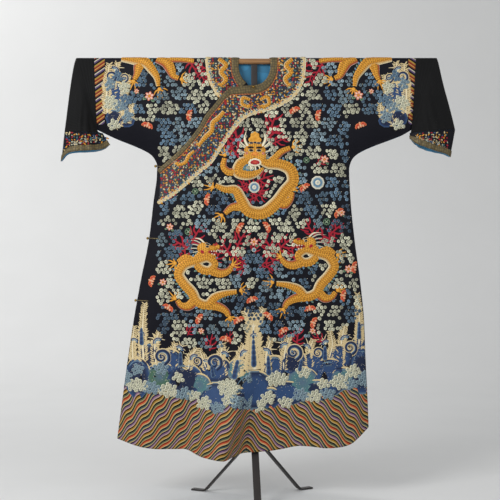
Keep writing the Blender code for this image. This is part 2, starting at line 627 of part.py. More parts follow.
def make_closures():
    """Five gilt ball buttons and the narrow cloth loops that hold them."""
    for k, name in enumerate(CLOSURES["name"]):
        z = CLOSURES["button_z"][k]
        x = CLOSURES["button_x"][k]
        on_panel = x is not None
        if on_panel:
            seat = lap_lift(x) + BUTTON_RISE if name == "neck" else FACING_THICKNESS + SEAM
            place = cloth(-1, x, v_at(z), CLOTH + LAY_GAP + seat + BUTTON_RADIUS)
        else:
            place = np.array([float(side_x(-1, z)) - 1.05 * BUTTON_RADIUS - SEAM, -0.004, z])
        bpy.ops.mesh.primitive_uv_sphere_add(segments=12, ring_count=6, radius=BUTTON_RADIUS,
                                             location=place + np.array([0.0, FRAME_Y, 0.0]))
        ball = bpy.context.object
        ball.name = "button_" + name
        mesh = ball.data.copy()
        location = ball.location.copy()
        bpy.data.objects.remove(ball)
        button = add_object("button_" + name, mesh, "gilt_button", smooth=True)
        button.location = location
        start_x = x if on_panel else float(side_x(-1, z)) + 0.004
        start_z = z - 0.0065 if on_panel else z
        count = 7
        line_x = np.linspace(start_x, CLOSURES["loop_x"][k], count)
        line_z = np.linspace(start_z, CLOSURES["loop_z"][k], count)
        nx, nz = left_normal(line_x, line_z)
        high = BUTTON_RISE if on_panel or name == "underarm" else -SEAM
        strip("loop_" + name, -1, line_x - nx * LOOP_WIDTH / 2, v_at(line_z - nz * LOOP_WIDTH / 2),
              line_x + nx * LOOP_WIDTH / 2, v_at(line_z + nz * LOOP_WIDTH / 2), 2, LOOP_THICKNESS,
              "gold_brocade", lap_lift, high)


def box(name, size, centre, material):
    """A square-edged bar, from a cube primitive."""
    mesh = bpy.data.meshes.new(name)
    shape = bmesh.new()
    bmesh.ops.create_cube(shape, size=1.0)
    bmesh.ops.scale(shape, vec=Vector(size), verts=shape.verts)
    shape.to_mesh(mesh)
    shape.free()
    obj = add_object(name, mesh, material)
    obj.location = Vector(centre) + Vector((0.0, FRAME_Y, 0.0))
    return obj


def cylinder(name, radius, length, centre, axis, material, segments=24):
    """A round bar along X or Z."""
    mesh = bpy.data.meshes.new(name)
    shape = bmesh.new()
    bmesh.ops.create_cone(shape, cap_ends=True, segments=segments, radius1=radius, radius2=radius,
                          depth=length)
    shape.to_mesh(mesh)
    shape.free()
    obj = add_object(name, mesh, material, smooth=True)
    mesh.set_sharp_from_angle(angle=math.radians(40))
    obj.location = Vector(centre) + Vector((0.0, FRAME_Y, 0.0))
    if axis == "X":
        obj.rotation_euler = (0.0, math.pi / 2, 0.0)
    return obj


def leg_outline():
    """Side view of a leg bent from flat bar: down from the hub at a slope, then level for the foot."""
    start = Vector((HUB_RADIUS + SEAM, HUB_Z))
    knee = Vector((LEG_REACH - FOOT_LENGTH, LEG_THICKNESS / 2))
    slope = (knee - start).normalized()
    side = Vector((-slope.y, slope.x)) * LEG_THICKNESS / 2
    top_start = start + side
    low_start = start - side
    half_turn = math.atan2(-slope.y, slope.x) / 2
    inset = LEG_THICKNESS / 2 * math.tan(half_turn)
    top_knee = Vector((knee.x + inset, LEG_THICKNESS))
    low_knee = Vector((knee.x - inset, 0.0))
    top_cut = Vector((start.x, top_start.y + (top_start.x - start.x) * -slope.y / slope.x))
    low_cut = Vector((start.x, low_start.y + (low_start.x - start.x) * -slope.y / slope.x))
    top_toe = Vector((LEG_REACH, LEG_THICKNESS))
    low_toe = Vector((LEG_REACH, 0.0))
    return [top_cut, top_knee, top_toe, low_toe, low_knee, low_cut]


def make_leg(name, turn):
    """One leg: its side outline as a flat curve, given the bar's width."""
    curve = bpy.data.curves.new("leg_" + name, "CURVE")
    curve.dimensions = "2D"
    curve.fill_mode = "BOTH"
    curve.extrude = LEG_WIDTH / 2
    points = leg_outline()
    spline = curve.splines.new("POLY")
    spline.points.add(len(points) - 1)
    for target, point in zip(spline.points, points):
        target.co = (point.x, point.y, 0.0, 1.0)
    spline.use_cyclic_u = True
    obj = bpy.data.objects.new("leg_" + name, curve)
    PARTS.objects.link(obj)
    obj.location = (POST_X, FRAME_Y, 0.0)
    obj.rotation_euler = (math.pi / 2, 0.0, math.radians(turn - 90))
    curve.materials.append(bpy.data.materials["black_steel"])
    return obj


def make_stand():
    """The wooden bar, steel post, hub and three bent legs."""
    cylinder("bar", BAR_RADIUS, BAR_LENGTH, (0.0, 0.0, BAR_AXIS_Z), "X", "wood")
    post_low = HUB_Z + HUB_HEIGHT / 2 + SEAM
    post_high = BAR_AXIS_Z - BAR_RADIUS - SEAM
    box("post", (POST_WIDTH, POST_DEPTH, post_high - post_low), (POST_X, 0.0, (post_low + post_high) / 2),
        "black_steel")
    cylinder("hub", HUB_RADIUS, HUB_HEIGHT, (POST_X, 0.0, HUB_Z), "Z", "black_steel")
    for name, turn in LEGS.items():
        make_leg(name, turn)


for old in list(bpy.data.objects):
    bpy.data.objects.remove(old)
PARTS = bpy.data.collections.new("dragon_robe_on_stand")
bpy.context.scene.collection.children.link(PARTS)
make_panels()
make_trims()
make_lining()
make_sleeves()
make_closures()
make_stand()
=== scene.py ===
"""Looks of a Chinese dragon robe hung on a bar stand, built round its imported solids, in metres.

Every cloth piece is a fine grid on the same hanging form as the solids. The embroidery is
low relief laid on that form: lobes, ribbons and hills of floss, each with its own thread colour.
"""

import functools
import math

import bmesh
import bpy
import numpy as np
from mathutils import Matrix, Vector


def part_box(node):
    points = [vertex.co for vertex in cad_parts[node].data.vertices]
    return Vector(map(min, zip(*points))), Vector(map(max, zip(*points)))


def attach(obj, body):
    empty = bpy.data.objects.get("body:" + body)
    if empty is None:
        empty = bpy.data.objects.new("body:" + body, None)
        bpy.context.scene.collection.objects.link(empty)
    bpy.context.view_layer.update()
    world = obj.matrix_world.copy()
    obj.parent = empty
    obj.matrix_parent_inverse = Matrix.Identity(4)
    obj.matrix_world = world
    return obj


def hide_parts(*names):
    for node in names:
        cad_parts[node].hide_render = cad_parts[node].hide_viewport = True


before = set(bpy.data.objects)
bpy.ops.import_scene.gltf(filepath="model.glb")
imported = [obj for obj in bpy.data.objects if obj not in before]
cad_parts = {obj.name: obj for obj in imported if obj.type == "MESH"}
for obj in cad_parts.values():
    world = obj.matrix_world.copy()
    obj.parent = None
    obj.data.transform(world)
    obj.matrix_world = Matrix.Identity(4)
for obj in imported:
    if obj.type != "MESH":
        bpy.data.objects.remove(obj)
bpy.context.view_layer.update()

bl_info = {
    "name": "Dragon robe on a stand",
    "version": (1, 0, 0),
    "blender": (4, 5, 0),
    "location": "View3D > Sidebar > Robe",
    "description": "Builds the embroidered robe, its trims and its stand on the packed solids",
    "category": "Object",
}

# Hang of the cloth, the same as the solids
BAR_AXIS_Z = 1.5217
BAR_RADIUS = 0.010
CLOTH = 0.002
SEAM = 0.0003
LAY_GAP = 0.0007
DRAPE_RADIUS = BAR_RADIUS + SEAM
SHOULDER_ARC = DRAPE_RADIUS * math.pi / 2
HEM_RAISE_FROM = 0.86
HEM_Z = 0.165
NECK_CENTRE_X = -0.007
NECK_HALF_WIDTH = 0.056
NECK_ROUND_Z = 1.510
NECK_DROP = 0.074
UNDER_EDGE_X = -0.031
UNDER_HEM_Z = 0.62
BAND_THICKNESS = 0.0012
FACING_THICKNESS = 0.0010
PIPING_WIDTH = 0.0035
TRIM_GAP = 0.0004
FRONT_TRIM_RISE = 0.0005
BACK_BAND_RISE = 0.0005
BACK_FACING_RISE = 0.0010
LAP_LIFT = CLOTH + 2 * LAY_GAP + BAND_THICKNESS
SLEEVE_JOIN_TOP_X = {-1: -0.567, 1: 0.556}
FRAME_Y = 0.045
POST_X = -0.008
CUFF_BAND = 0.020

# Side outline of the hanging robe, from the sleeve's end along the underarm and down the side
LEFT_OUTLINE = {
    "z": [1.2815, 1.249, 1.2295, 1.210, 1.1945, 1.177, 1.156, 1.1245, 1.037, 0.897, 0.757, 0.617, 0.477,
          0.337, 0.204],
    "x": [-0.5565, -0.488, -0.439, -0.394, -0.369, -0.355, -0.3475, -0.348, -0.359, -0.376, -0.404, -0.429,
          -0.450, -0.469, -0.4865],
}
RIGHT_OUTLINE = {
    "z": [1.2815, 1.2628, 1.2435, 1.2274, 1.2085, 1.191, 1.172, 1.1434, 1.037, 0.897, 0.757, 0.617, 0.477,
          0.337, 0.2425],
    "x": [0.541, 0.509, 0.460, 0.4165, 0.3728, 0.345, 0.331, 0.324, 0.329, 0.343, 0.362, 0.376, 0.3815,
          0.3885, 0.392],
}

# Height of the hem, across the front and across the back
FRONT_HEM = {
    "x": [-0.4865, -0.44, -0.387, -0.334, -0.25, -0.187, -0.143, -0.116, -0.09, -0.057, 0.0, 0.082, 0.152,
          0.25, 0.29, 0.325, 0.355, 0.392],
    "z": [0.204, 0.191, 0.179, 0.175, 0.175, 0.158, 0.153, 0.151, 0.157, 0.164, 0.166, 0.174, 0.184,
          0.178, 0.180, 0.189, 0.211, 0.2425],
}
BACK_HEM = {
    "x": [-0.4865, -0.40, -0.28, -0.12, 0.0, 0.12, 0.24, 0.33, 0.392],
    "z": [0.204, 0.184, 0.170, 0.160, 0.163, 0.160, 0.174, 0.203, 0.2425],
}

# How far in from the outline the round-off, the belly, the folds and the creases reach their full depth
ROUND_REACH = 0.08
BELLY_REACH = 0.30
FOLD_REACH = 0.07
CREASE_REACH = 0.05

# How far the body stands off its middle plane, by height
BELLY = {
    "z": [0.10, 0.30, 0.60, 0.90, 1.15, 1.32, 1.46, 1.5217],
    "depth": [0.052, 0.046, 0.038, 0.033, 0.026, 0.014, 0.003, 0.0],
}

# Folds: where each starts at the top and meets the hem, how far it stands out there, and its half widths
FOLD_COLUMNS = ("top_x", "top_z", "hem_x", "depth", "left_width", "right_width")
FRONT_FOLDS = [
    (-0.020, 0.56, -0.118, 0.092, 0.085, 0.040),
    (-0.190, 0.62, -0.245, -0.014, 0.045, 0.045),
    (-0.330, 0.95, -0.372, 0.010, 0.060, 0.050),
    (0.090, 0.80, 0.135, -0.016, 0.065, 0.070),
    (0.220, 0.95, 0.270, 0.010, 0.055, 0.045),
    (0.330, 0.62, 0.350, 0.012, 0.030, 0.030),
]
BACK_FOLDS = [
    (-0.140, 0.80, -0.205, 0.062, 0.085, 0.075),
    (-0.020, 0.62, -0.055, -0.018, 0.050, 0.050),
    (0.050, 0.78, 0.105, 0.070, 0.070, 0.085),
    (0.210, 0.80, 0.262, 0.022, 0.060, 0.050),
    (-0.300, 0.90, -0.360, 0.018, 0.055, 0.055),
]

# Neck and flap edge of the front, the width of the band along it, and the outer edge of the wide facing
FRONT_TRIM = {
    "edge_x": [0.049, 0.0469, 0.0356, 0.0168, -0.007, -0.0508, -0.0914, -0.1208, -0.1453, -0.1768, -0.2013,
               -0.2328, -0.2678, -0.3028, -0.345],
    "edge_z": [1.5217, 1.490, 1.462, 1.443, 1.436, 1.4325, 1.4255, 1.401, 1.3695, 1.331, 1.289, 1.247,
               1.2085, 1.177, 1.141],
    "band": [0.0245, 0.0245, 0.026, 0.028, 0.029, 0.028, 0.024, 0.019, 0.017, 0.016, 0.016, 0.016, 0.016,
             0.016, 0.016],
    "face_x": [0.173, 0.170, 0.150, 0.105, 0.045, -0.005, -0.040, -0.068, -0.095, -0.121, -0.156, -0.198,
               -0.250, -0.300, -0.338],
    "face_z": [1.5217, 1.470, 1.415, 1.372, 1.346, 1.333, 1.316, 1.288, 1.2505, 1.212, 1.1595, 1.1245,
               1.079, 1.040, 1.020],
}
UNDER_TRIM = {
    "edge_x": [-0.063, -0.062, -0.0535, -0.0445, -0.0360],
    "edge_z": [1.5217, 1.496, 1.468, 1.4535, 1.4455],
    "band": [0.0245, 0.0245, 0.025, 0.026, 0.027],
    "face_x": [-0.180, -0.174, -0.162, -0.150, -0.137],
    "face_z": [1.5217, 1.4745, 1.437, 1.415, 1.395],
}
BACK_TRIM = {
    "edge_x": [-0.063, -0.050, -0.028, -0.007, 0.014, 0.036, 0.049],
    "edge_v": [0.000, 0.012, 0.016, 0.017, 0.016, 0.012, 0.000],
    "band_x": [-0.0875, -0.072, -0.036, -0.007, 0.022, 0.058, 0.0735],
    "band_v": [0.000, 0.026, 0.039, 0.041, 0.039, 0.026, 0.000],
    "face_x": [-0.180, -0.150, -0.080, -0.007, 0.066, 0.136, 0.173],
    "face_v": [0.000, 0.085, 0.130, 0.142, 0.130, 0.085, 0.000],
}

# Lower sleeve: each section runs from the ridge down to the lower seam as the sleeve turns over the bar's end
LEFT_SLEEVE = {
    "ridge_x": [-0.567, -0.600, -0.6275, -0.635, -0.6405, -0.6458, -0.652, -0.658, -0.664, -0.670],
    "ridge_z": [1.534, 1.534, 1.534, 1.520, 1.495, 1.464, 1.420, 1.372, 1.322, 1.275],
    "seam_x": [-0.5565, -0.5565, -0.5563, -0.556, -0.5555, -0.5545, -0.553, -0.550, -0.546, -0.540],
    "seam_z": [1.2815, 1.2803, 1.279, 1.2778, 1.2766, 1.2754, 1.2742, 1.273, 1.272, 1.2705],
    "depth": [0.004, 0.005, 0.007, 0.009, 0.012, 0.015, 0.018, 0.021, 0.024, 0.026],
}
RIGHT_SLEEVE = {
    "ridge_x": [0.556, 0.594, 0.6275, 0.6345, 0.6405, 0.6475, 0.657, 0.669, 0.682, 0.693],
    "ridge_z": [1.534, 1.534, 1.534, 1.520, 1.495, 1.463, 1.424, 1.380, 1.330, 1.284],
    "seam_x": [0.541, 0.541, 0.541, 0.541, 0.5408, 0.5404, 0.5398, 0.539, 0.5382, 0.5375],
    "seam_z": [1.2815, 1.2803, 1.279, 1.2778, 1.2766, 1.2754, 1.2742, 1.273, 1.2718, 1.2706],
    "depth": [0.004, 0.005, 0.007, 0.009, 0.012, 0.015, 0.018, 0.021, 0.024, 0.026],
}

# Hoof-shaped cuff: where its edge lies from the ridge to the lower seam, and how deep the cuff stands there
LEFT_CUFF = {
    "share": [0.0, 0.12, 0.30, 0.52, 0.74, 0.90, 1.0],
    "edge_x": [-0.681, -0.660, -0.628, -0.590, -0.555, -0.532, -0.516],
    "edge_z": [1.172, 1.198, 1.205, 1.207, 1.210, 1.217, 1.229],
}
RIGHT_CUFF = {
    "share": [0.0, 0.12, 0.30, 0.52, 0.74, 0.90, 1.0],
    "edge_x": [0.6755, 0.655, 0.622, 0.592, 0.566, 0.550, 0.540],
    "edge_z": [1.187, 1.198, 1.206, 1.216, 1.228, 1.239, 1.250],
}

# Fine creases, as shares of the crease depth, in the same columns as the folds
FRONT_CREASES = [
    (-0.060, 1.05, -0.070, 1.0, 0.016, 0.014),
    (0.045, 0.98, 0.050, 0.9, 0.014, 0.018),
    (0.150, 1.08, 0.195, -0.8, 0.020, 0.020),
    (0.285, 1.02, 0.315, 0.9, 0.016, 0.020),
    (-0.150, 0.92, -0.175, 0.8, 0.016, 0.018),
    (-0.265, 1.00, -0.305, -0.8, 0.020, 0.018),
    (-0.385, 0.62, -0.425, 0.9, 0.014, 0.016),
    (0.240, 0.60, 0.232, 0.8, 0.012, 0.014),
]
BACK_CREASES = [
    (-0.230, 1.05, -0.270, 0.9, 0.016, 0.018),
    (-0.060, 1.00, -0.110, 0.8, 0.016, 0.016),
    (0.010, 0.90, 0.020, -0.8, 0.018, 0.016),
    (0.120, 1.05, 0.170, 0.9, 0.016, 0.016),
    (0.250, 1.00, 0.310, 0.8, 0.016, 0.018),
]

# Embroidery: a dome's height, the radius from which it has it, how far its rim sinks, and a scroll's pitch
RELIEF = 0.0016
FULL_RELIEF_RADIUS = 0.006
SINK = 0.0005
SCROLL_PITCH = 0.0042

# Grid of the hanging form
FORM_STEP = 0.004
FORM_X = np.arange(-0.604, 0.6041, FORM_STEP)
FORM_Z = np.arange(0.120, 1.5261, FORM_STEP)

# Thread colours
THREADS = {
    "ivory": "#ddd5bb", "cream": "#b9a67c", "foam": "#c6b286", "pale_sage": "#cfcdb4", "sage": "#8a8f78",
    "pale_blue": "#8499a2", "blue_grey": "#647d8e", "sky": "#5f8298", "slate": "#4d6173", "royal": "#294268",
    "navy": "#18223c", "teal": "#476f72", "green": "#3f5f47", "pale_green": "#8fa284", "coral": "#c4523a",
    "crimson": "#98182a", "red": "#8a1f22", "rose": "#cf9480", "orange": "#d87c3c", "gold": "#bd8026",
    "pale_gold": "#d79a3a", "dark_gold": "#6e4315", "purple": "#64507a", "black": "#101016",
}

# Colours of the motifs, from the centre out or from the left edge to the right
CLOUD_COLOURS = {
    "cream": ("sage", "pale_sage", "pale_sage", "sage"),
    "royal": ("royal", "blue_grey", "blue_grey", "royal"),
    "teal": ("slate", "pale_blue", "pale_blue", "slate"), "navy": ("navy", "slate", "slate", "royal"),
}
FLAME_COLOURS = ("red", "crimson", "crimson", "crimson", "crimson", "crimson", "red")
MOUND_COLOURS = {
    "royal": ("royal", "royal", "navy", "blue_grey"), "navy": ("navy", "navy", "royal", "blue_grey"),
    "teal": ("slate", "teal", "slate", "foam"), "green": ("slate", "green", "slate", "foam"),
}
FACING_SETS = [
    ("crimson", "crimson", "coral", "red"), ("cream", "foam", "cream", "cream"),
    ("royal", "royal", "sky", "navy"),
    ("pale_gold", "gold", "gold", "dark_gold"), ("pale_sage", "sage", "pale_sage", "navy"),
    ("gold", "gold", "pale_gold", "dark_gold"), ("green", "teal", "green", "navy"),
    ("crimson", "red", "red", "red"),
]
WHIRL_COLOURS = ("foam", "pale_blue", "royal", "navy", "navy", "royal", "sky")
PLUME_COLOURS = ("cream", "foam", "foam", "ivory", "foam", "foam", "cream")

# Branches of a flame: start, bend and end, in shares of its size
FLAME_STROKES = [
    (-0.50, 0.00, -0.05, 0.05, 0.50, 0.02), (-0.30, 0.02, -0.22, 0.24, -0.02, 0.36),
    (0.00, 0.04, 0.12, 0.24, 0.34, 0.30), (-0.20, 0.00, -0.04, -0.22, 0.16, -0.30),
    (0.16, 0.02, 0.26, -0.12, 0.46, -0.20), (-0.12, 0.18, 0.00, 0.30, 0.18, 0.46),
    (-0.36, -0.02, -0.34, -0.18, -0.24, -0.34),
]

# Bats: their size in metres to a unit, then place, radius, aspect, turn and colour set of each lobe
BAT_SCALE = 0.0014
BAT_LOBES = np.array([
    (-7.5, 2.5, 4.2, 1.5, 25, 0), (7.5, 2.5, 4.2, 1.5, -25, 0), (-11.5, -1.0, 3.2, 1.5, 60, 0),
    (11.5, -1.0, 3.2, 1.5, -60, 0), (-6.0, -2.5, 2.8, 1.4, 75, 1), (6.0, -2.5, 2.8, 1.4, -75, 1),
    (0.0, 0.0, 3.2, 1.9, 90, 1), (0.0, 6.5, 2.8, 1.0, 0, 1),
])
BAT_COLOURS = [("red", "coral", "orange", "rose"), ("foam", "rose", "orange", "foam")]

# Dragon faces: strands as start, bend and end in shares of the head's size, with their width
MANE = [
    (-0.25, -0.10, -0.62, 0.02, -0.80, 0.22, 0.15), (-0.30, 0.10, -0.60, 0.28, -0.66, 0.52, 0.14),
    (0.25, -0.10, 0.62, 0.02, 0.84, 0.20, 0.15), (0.30, 0.10, 0.62, 0.28, 0.70, 0.52, 0.14),
    (-0.25, -0.25, -0.60, -0.28, -0.78, -0.12, 0.14), (0.25, -0.25, 0.60, -0.28, 0.80, -0.12, 0.14),
    (-0.20, -0.35, -0.50, -0.52, -0.70, -0.42, 0.13), (0.20, -0.35, 0.50, -0.52, 0.72, -0.42, 0.13),
    (0.34, 0.22, 0.50, 0.50, 0.46, 0.74, 0.12), (-0.30, 0.24, -0.44, 0.46, -0.40, 0.66, 0.10),
]
HORNS = [
    (-0.30, 0.20, -0.42, 0.46, -0.36, 0.84, 0.17), (0.30, 0.20, 0.42, 0.46, 0.36, 0.84, 0.17),
    (-0.36, 0.16, -0.58, 0.36, -0.64, 0.60, 0.08), (0.36, 0.16, 0.58, 0.36, 0.64, 0.60, 0.08),
]
BEARD = [
    (-0.10, -0.16, -0.42, -0.20, -0.56, -0.02, 0.07), (0.10, -0.16, 0.42, -0.20, 0.56, -0.02, 0.07),
    (-0.12, -0.56, -0.20, -0.72, -0.12, -0.88, 0.09), (0.12, -0.56, 0.20, -0.72, 0.12, -0.88, 0.09),
    (0.00, -0.56, 0.02, -0.74, 0.00, -0.92, 0.10),
]
MANE_COLOURS = ("black", "slate", "pale_sage", "foam", "slate", "navy", "black")
HORN_COLOURS = ("dark_gold", "cream", "ivory", "ivory", "ivory", "cream", "dark_gold")
FACE_LOBES = {
    "skull": [(0.0, 0.03, 0.39, 1.22, 1.9), (-0.22, -0.22, 0.25, 1.1, 1.9), (0.22, -0.22, 0.25, 1.1, 1.9)],
    "crown": [(0.0, 0.50, 0.21, 1.1, 1.9), (-0.17, 0.46, 0.11, 1.0, 2.0), (0.17, 0.46, 0.11, 1.0, 2.0),
              (-0.09, 0.66, 0.10, 1.0, 2.0), (0.09, 0.66, 0.10, 1.0, 2.0), (0.0, 0.73, 0.09, 1.0, 2.1)],
    "tuft": [(-0.15, 0.33, 0.055, 2.2, 3.0), (0.15, 0.33, 0.055, 2.2, 3.0), (0.0, 0.35, 0.06, 1.4, 3.0)],
    "brow": [(-0.17, 0.14, 0.055, 2.9, 4.8), (0.17, 0.14, 0.055, 2.9, 4.8)],
    "eye": [(-0.16, 0.02, 0.07, 1.8, 4.8), (0.16, 0.02, 0.07, 1.8, 4.8)],
    "nose": [(0.0, -0.12, 0.10, 1.5, 3.2), (-0.13, -0.17, 0.05, 1.0, 3.4), (0.13, -0.17, 0.05, 1.0, 3.4)],
    "cheek": [(-0.34, -0.10, 0.08, 1.0, 2.8), (0.34, -0.10, 0.08, 1.0, 2.8)],
    "lip": [(0.0, -0.46, 0.19, 1.7, 2.6)],
    "mouth": [(0.0, -0.47, 0.14, 1.9, 3.3)],
    "teeth": [(-0.16, -0.37, 0.045, 1.0, 4.4), (-0.06, -0.36, 0.045, 1.0, 4.4),
              (0.06, -0.36, 0.045, 1.0, 4.4),
              (0.16, -0.37, 0.045, 1.0, 4.4), (-0.10, -0.55, 0.04, 1.0, 4.4), (0.10, -0.55, 0.04, 1.0, 4.4)],
}
FACE_COLOURS = {
    "skull": ("pale_gold", "pale_gold", "gold", "dark_gold"),
    "crown": ("gold", "pale_gold", "pale_gold", "dark_gold"),
    "tuft": ("black", "navy", "ivory", "ivory"),
    "brow": ("black", "black", "dark_gold", "gold"), "eye": ("black", "black", "ivory", "ivory"),
    "lip": ("ivory", "ivory", "ivory", "dark_gold"), "mouth": ("coral", "crimson", "crimson", "red"),
    "teeth": ("ivory", "ivory", "ivory", "cream"), "nose": ("pale_gold", "orange", "gold", "dark_gold"),
    "cheek": ("coral", "rose", "pale_gold", "gold"),
}
SIDE_MANE = [
    (0.10, 0.18, 0.40, 0.34, 0.76, 0.34, 0.11), (0.14, 0.10, 0.46, 0.19, 0.88, 0.14, 0.11),
    (0.14, 0.00, 0.50, 0.03, 0.92, -0.04, 0.11), (0.14, -0.09, 0.46, -0.13, 0.82, -0.22, 0.11),
    (0.10, -0.18, 0.36, -0.26, 0.64, -0.38, 0.11),
]
SIDE_HORNS = [
    (0.00, 0.20, 0.22, 0.40, 0.56, 0.44, 0.11), (-0.50, 0.06, -0.76, 0.20, -0.70, 0.42, 0.05),
    (-0.44, -0.04, -0.84, -0.08, -0.98, 0.10, 0.05), (-0.14, -0.36, -0.24, -0.54, -0.12, -0.70, 0.07),
    (0.00, -0.30, 0.02, -0.50, 0.16, -0.60, 0.08),
]
SIDE_LOBES = {
    "jaw": [(-0.22, -0.27, 0.11, 2.4, 20, 2.0)],
    "mouth": [(-0.28, -0.14, 0.10, 2.2, 8, 2.2)],
    "teeth": [(-0.46, -0.10, 0.04, 0.9, 0, 4.4), (-0.36, -0.10, 0.04, 0.9, 0, 4.4),
              (-0.26, -0.10, 0.04, 0.9, 0, 4.4),
              (-0.38, -0.24, 0.04, 0.9, 0, 4.4), (-0.28, -0.21, 0.04, 0.9, 0, 4.4)],
    "snout": [(-0.30, 0.02, 0.13, 2.0, -6, 2.4)],
    "skull": [(0.04, 0.02, 0.27, 1.2, 0, 2.1), (-0.52, 0.08, 0.10, 1.0, 0, 2.8)],
    "cheek": [(0.12, -0.12, 0.08, 1.4, 40, 3.0), (-0.40, 0.16, 0.05, 2.0, 10, 3.0)],
    "brow": [(-0.10, 0.19, 0.05, 2.6, 16, 4.0)],
    "eye": [(-0.09, 0.09, 0.06, 1.4, 8, 4.4)],
}
SIDE_COLOURS = {
    "jaw": ("pale_gold", "gold", "gold", "dark_gold"), "mouth": ("black", "red", "coral", "red"),
    "cheek": ("crimson", "crimson", "orange", "gold"),
    "teeth": ("ivory", "ivory", "ivory", "cream"), "snout": ("pale_gold", "gold", "gold", "dark_gold"),
    "skull": ("pale_gold", "pale_gold", "gold", "dark_gold"), "brow": ("black", "black", "ivory", "ivory"),
    "eye": ("black", "black", "ivory", "ivory"),
}

# Rocks at the hem, and at a sleeve's end: place, width, height (mm) and colours
MOUNDS = [
    (-300, 474, 96, 96, "royal"), (-372, 496, 84, 96, "navy"), (-140, 450, 116, 92, "royal"),
    (-62, 446, 84, 84, "teal"),
    (60, 456, 88, 84, "royal"), (128, 474, 96, 92, "navy"), (196, 470, 84, 84, "royal"),
    (286, 488, 104, 92, "royal"),
    (360, 520, 72, 92, "royal"),
    (-334, 424, 104, 96, "green"), (-411, 416, 100, 150, "navy"), (-250, 412, 140, 124, "navy"),
    (-196, 396, 80, 80, "teal"), (159, 404, 120, 110, "teal"), (300, 414, 96, 84, "teal"),
    (368, 440, 96, 170, "navy"), (250, 420, 136, 136, "royal"), (-136, 356, 136, 100, "royal"),
    (106, 366, 150, 84, "royal"), (210, 376, 120, 76, "navy"), (-10, 380, 150, 136, "royal"),
    (-64, 352, 70, 80, "navy"), (48, 350, 70, 76, "navy"),
]
SLEEVE_MOUNDS = [(488, 1404, 72, 90, "royal"), (496, 1322, 66, 66, "navy"), (452, 1312, 60, 48, "navy")]

# Swirled clumps: place, width, height (mm) and colours
CLUMPS = [
    (-97, 388, 78, 62, "cream"), (70, 416, 78, 54, "cream"), (40, 352, 56, 46, "cream"),
    (-70, 346, 44, 50, "teal"),
    (-306, 376, 76, 50, "cream"), (-411, 392, 90, 46, "cream"), (-177, 334, 56, 46, "cream"),
    (-26, 334, 50, 50, "teal"), (152, 360, 62, 46, "teal"), (288, 404, 72, 54, "cream"),
    (-360, 384, 66, 46, "teal"),
    (200, 356, 60, 44, "cream"), (334, 440, 56, 50, "cream"), (-250, 366, 60, 46, "teal"),
    (372, 412, 46, 60, "teal"),
    (8, 322, 44, 44, "cream"), (100, 336, 54, 40, "cream"), (-448, 416, 34, 60, "teal"),
    (-130, 320, 50, 40, "teal"),
    (246, 366, 56, 40, "teal"), (-216, 360, 50, 40, "cream"), (330, 396, 50, 40, "teal"),
    (-96, 350, 44, 40, "cream"),
    (-330, 452, 56, 44, "teal"), (162, 440, 56, 40, "cream"), (-20, 424, 50, 34, "teal"),
    (232, 400, 50, 34, "cream"),
    (-270, 420, 44, 34, "cream"), (-412, 446, 44, 40, "teal"),
]
SLEEVE_CLUMPS = [
    (506, 1374, 54, 54, "cream"), (474, 1362, 50, 40, "teal"), (452, 1384, 44, 44, "royal"),
    (460, 1426, 40, 50, "cream"), (450, 1326, 40, 44, "teal"), (496, 1300, 50, 34, "cream"),
    (512, 1440, 36, 50, "teal"), (484, 1466, 36, 40, "royal"),
]

# Curling crests: place, radius (mm) and hand
WHIRLS = [(-146, 474, 28, 1), (128, 508, 28, -1), (-328, 492, 28, 1), (324, 522, 24, -1), (-205, 478, 18, -1),
          (212, 506, 20, 1)]
SLEEVE_WHIRLS = [(508, 1466, 20, 1), (462, 1462, 16, -1)]

# Foam jets: rows of place and width (mm) from the foot up
PLUMES = [
    [(-8, 450, 56), (-10, 500, 38), (-11, 560, 26), (-12, 612, 18), (-12, 646, 5)],
    [(-14, 596, 18), (-26, 628, 12), (-44, 652, 5)], [(-8, 596, 18), (8, 630, 12), (24, 660, 5)],
    [(-390, 480, 16), (-394, 580, 12), (-388, 676, 4)], [(356, 520, 16), (358, 620, 12), (352, 710, 4)],
    [(-346, 460, 12), (-352, 520, 12), (-338, 576, 5)], [(-236, 450, 12), (-232, 480, 12), (-206, 524, 5)],
    [(-112, 430, 14), (-124, 490, 12), (-116, 540, 5)], [(-66, 430, 16), (-62, 480, 13), (-44, 534, 5)],
    [(34, 440, 16), (34, 500, 13), (50, 556, 5)], [(92, 450, 12), (98, 510, 12), (112, 562, 5)],
    [(292, 470, 13), (294, 540, 12), (306, 602, 5)], [(-286, 460, 12), (-296, 500, 10), (-280, 540, 4)],
    [(184, 460, 12), (180, 500, 11), (196, 552, 4)], [(-428, 480, 12), (-430, 530, 10), (-424, 596, 4)],
    [(384, 520, 12), (382, 570, 11), (386, 640, 4)], [(-172, 450, 12), (-182, 480, 10), (-196, 516, 4)],
    [(252, 490, 10), (262, 540, 9), (254, 580, 4)],
]
SLEEVE_PLUMES = [
    [(520, 1340, 12), (522, 1420, 12), (514, 1512, 5)], [(500, 1390, 10), (498, 1450, 10), (486, 1516, 4)],
    [(470, 1340, 10), (462, 1400, 10), (446, 1470, 4)], [(480, 1300, 10), (462, 1330, 9), (440, 1350, 4)],
    [(452, 1310, 10), (436, 1340, 9), (430, 1372, 4)],
]

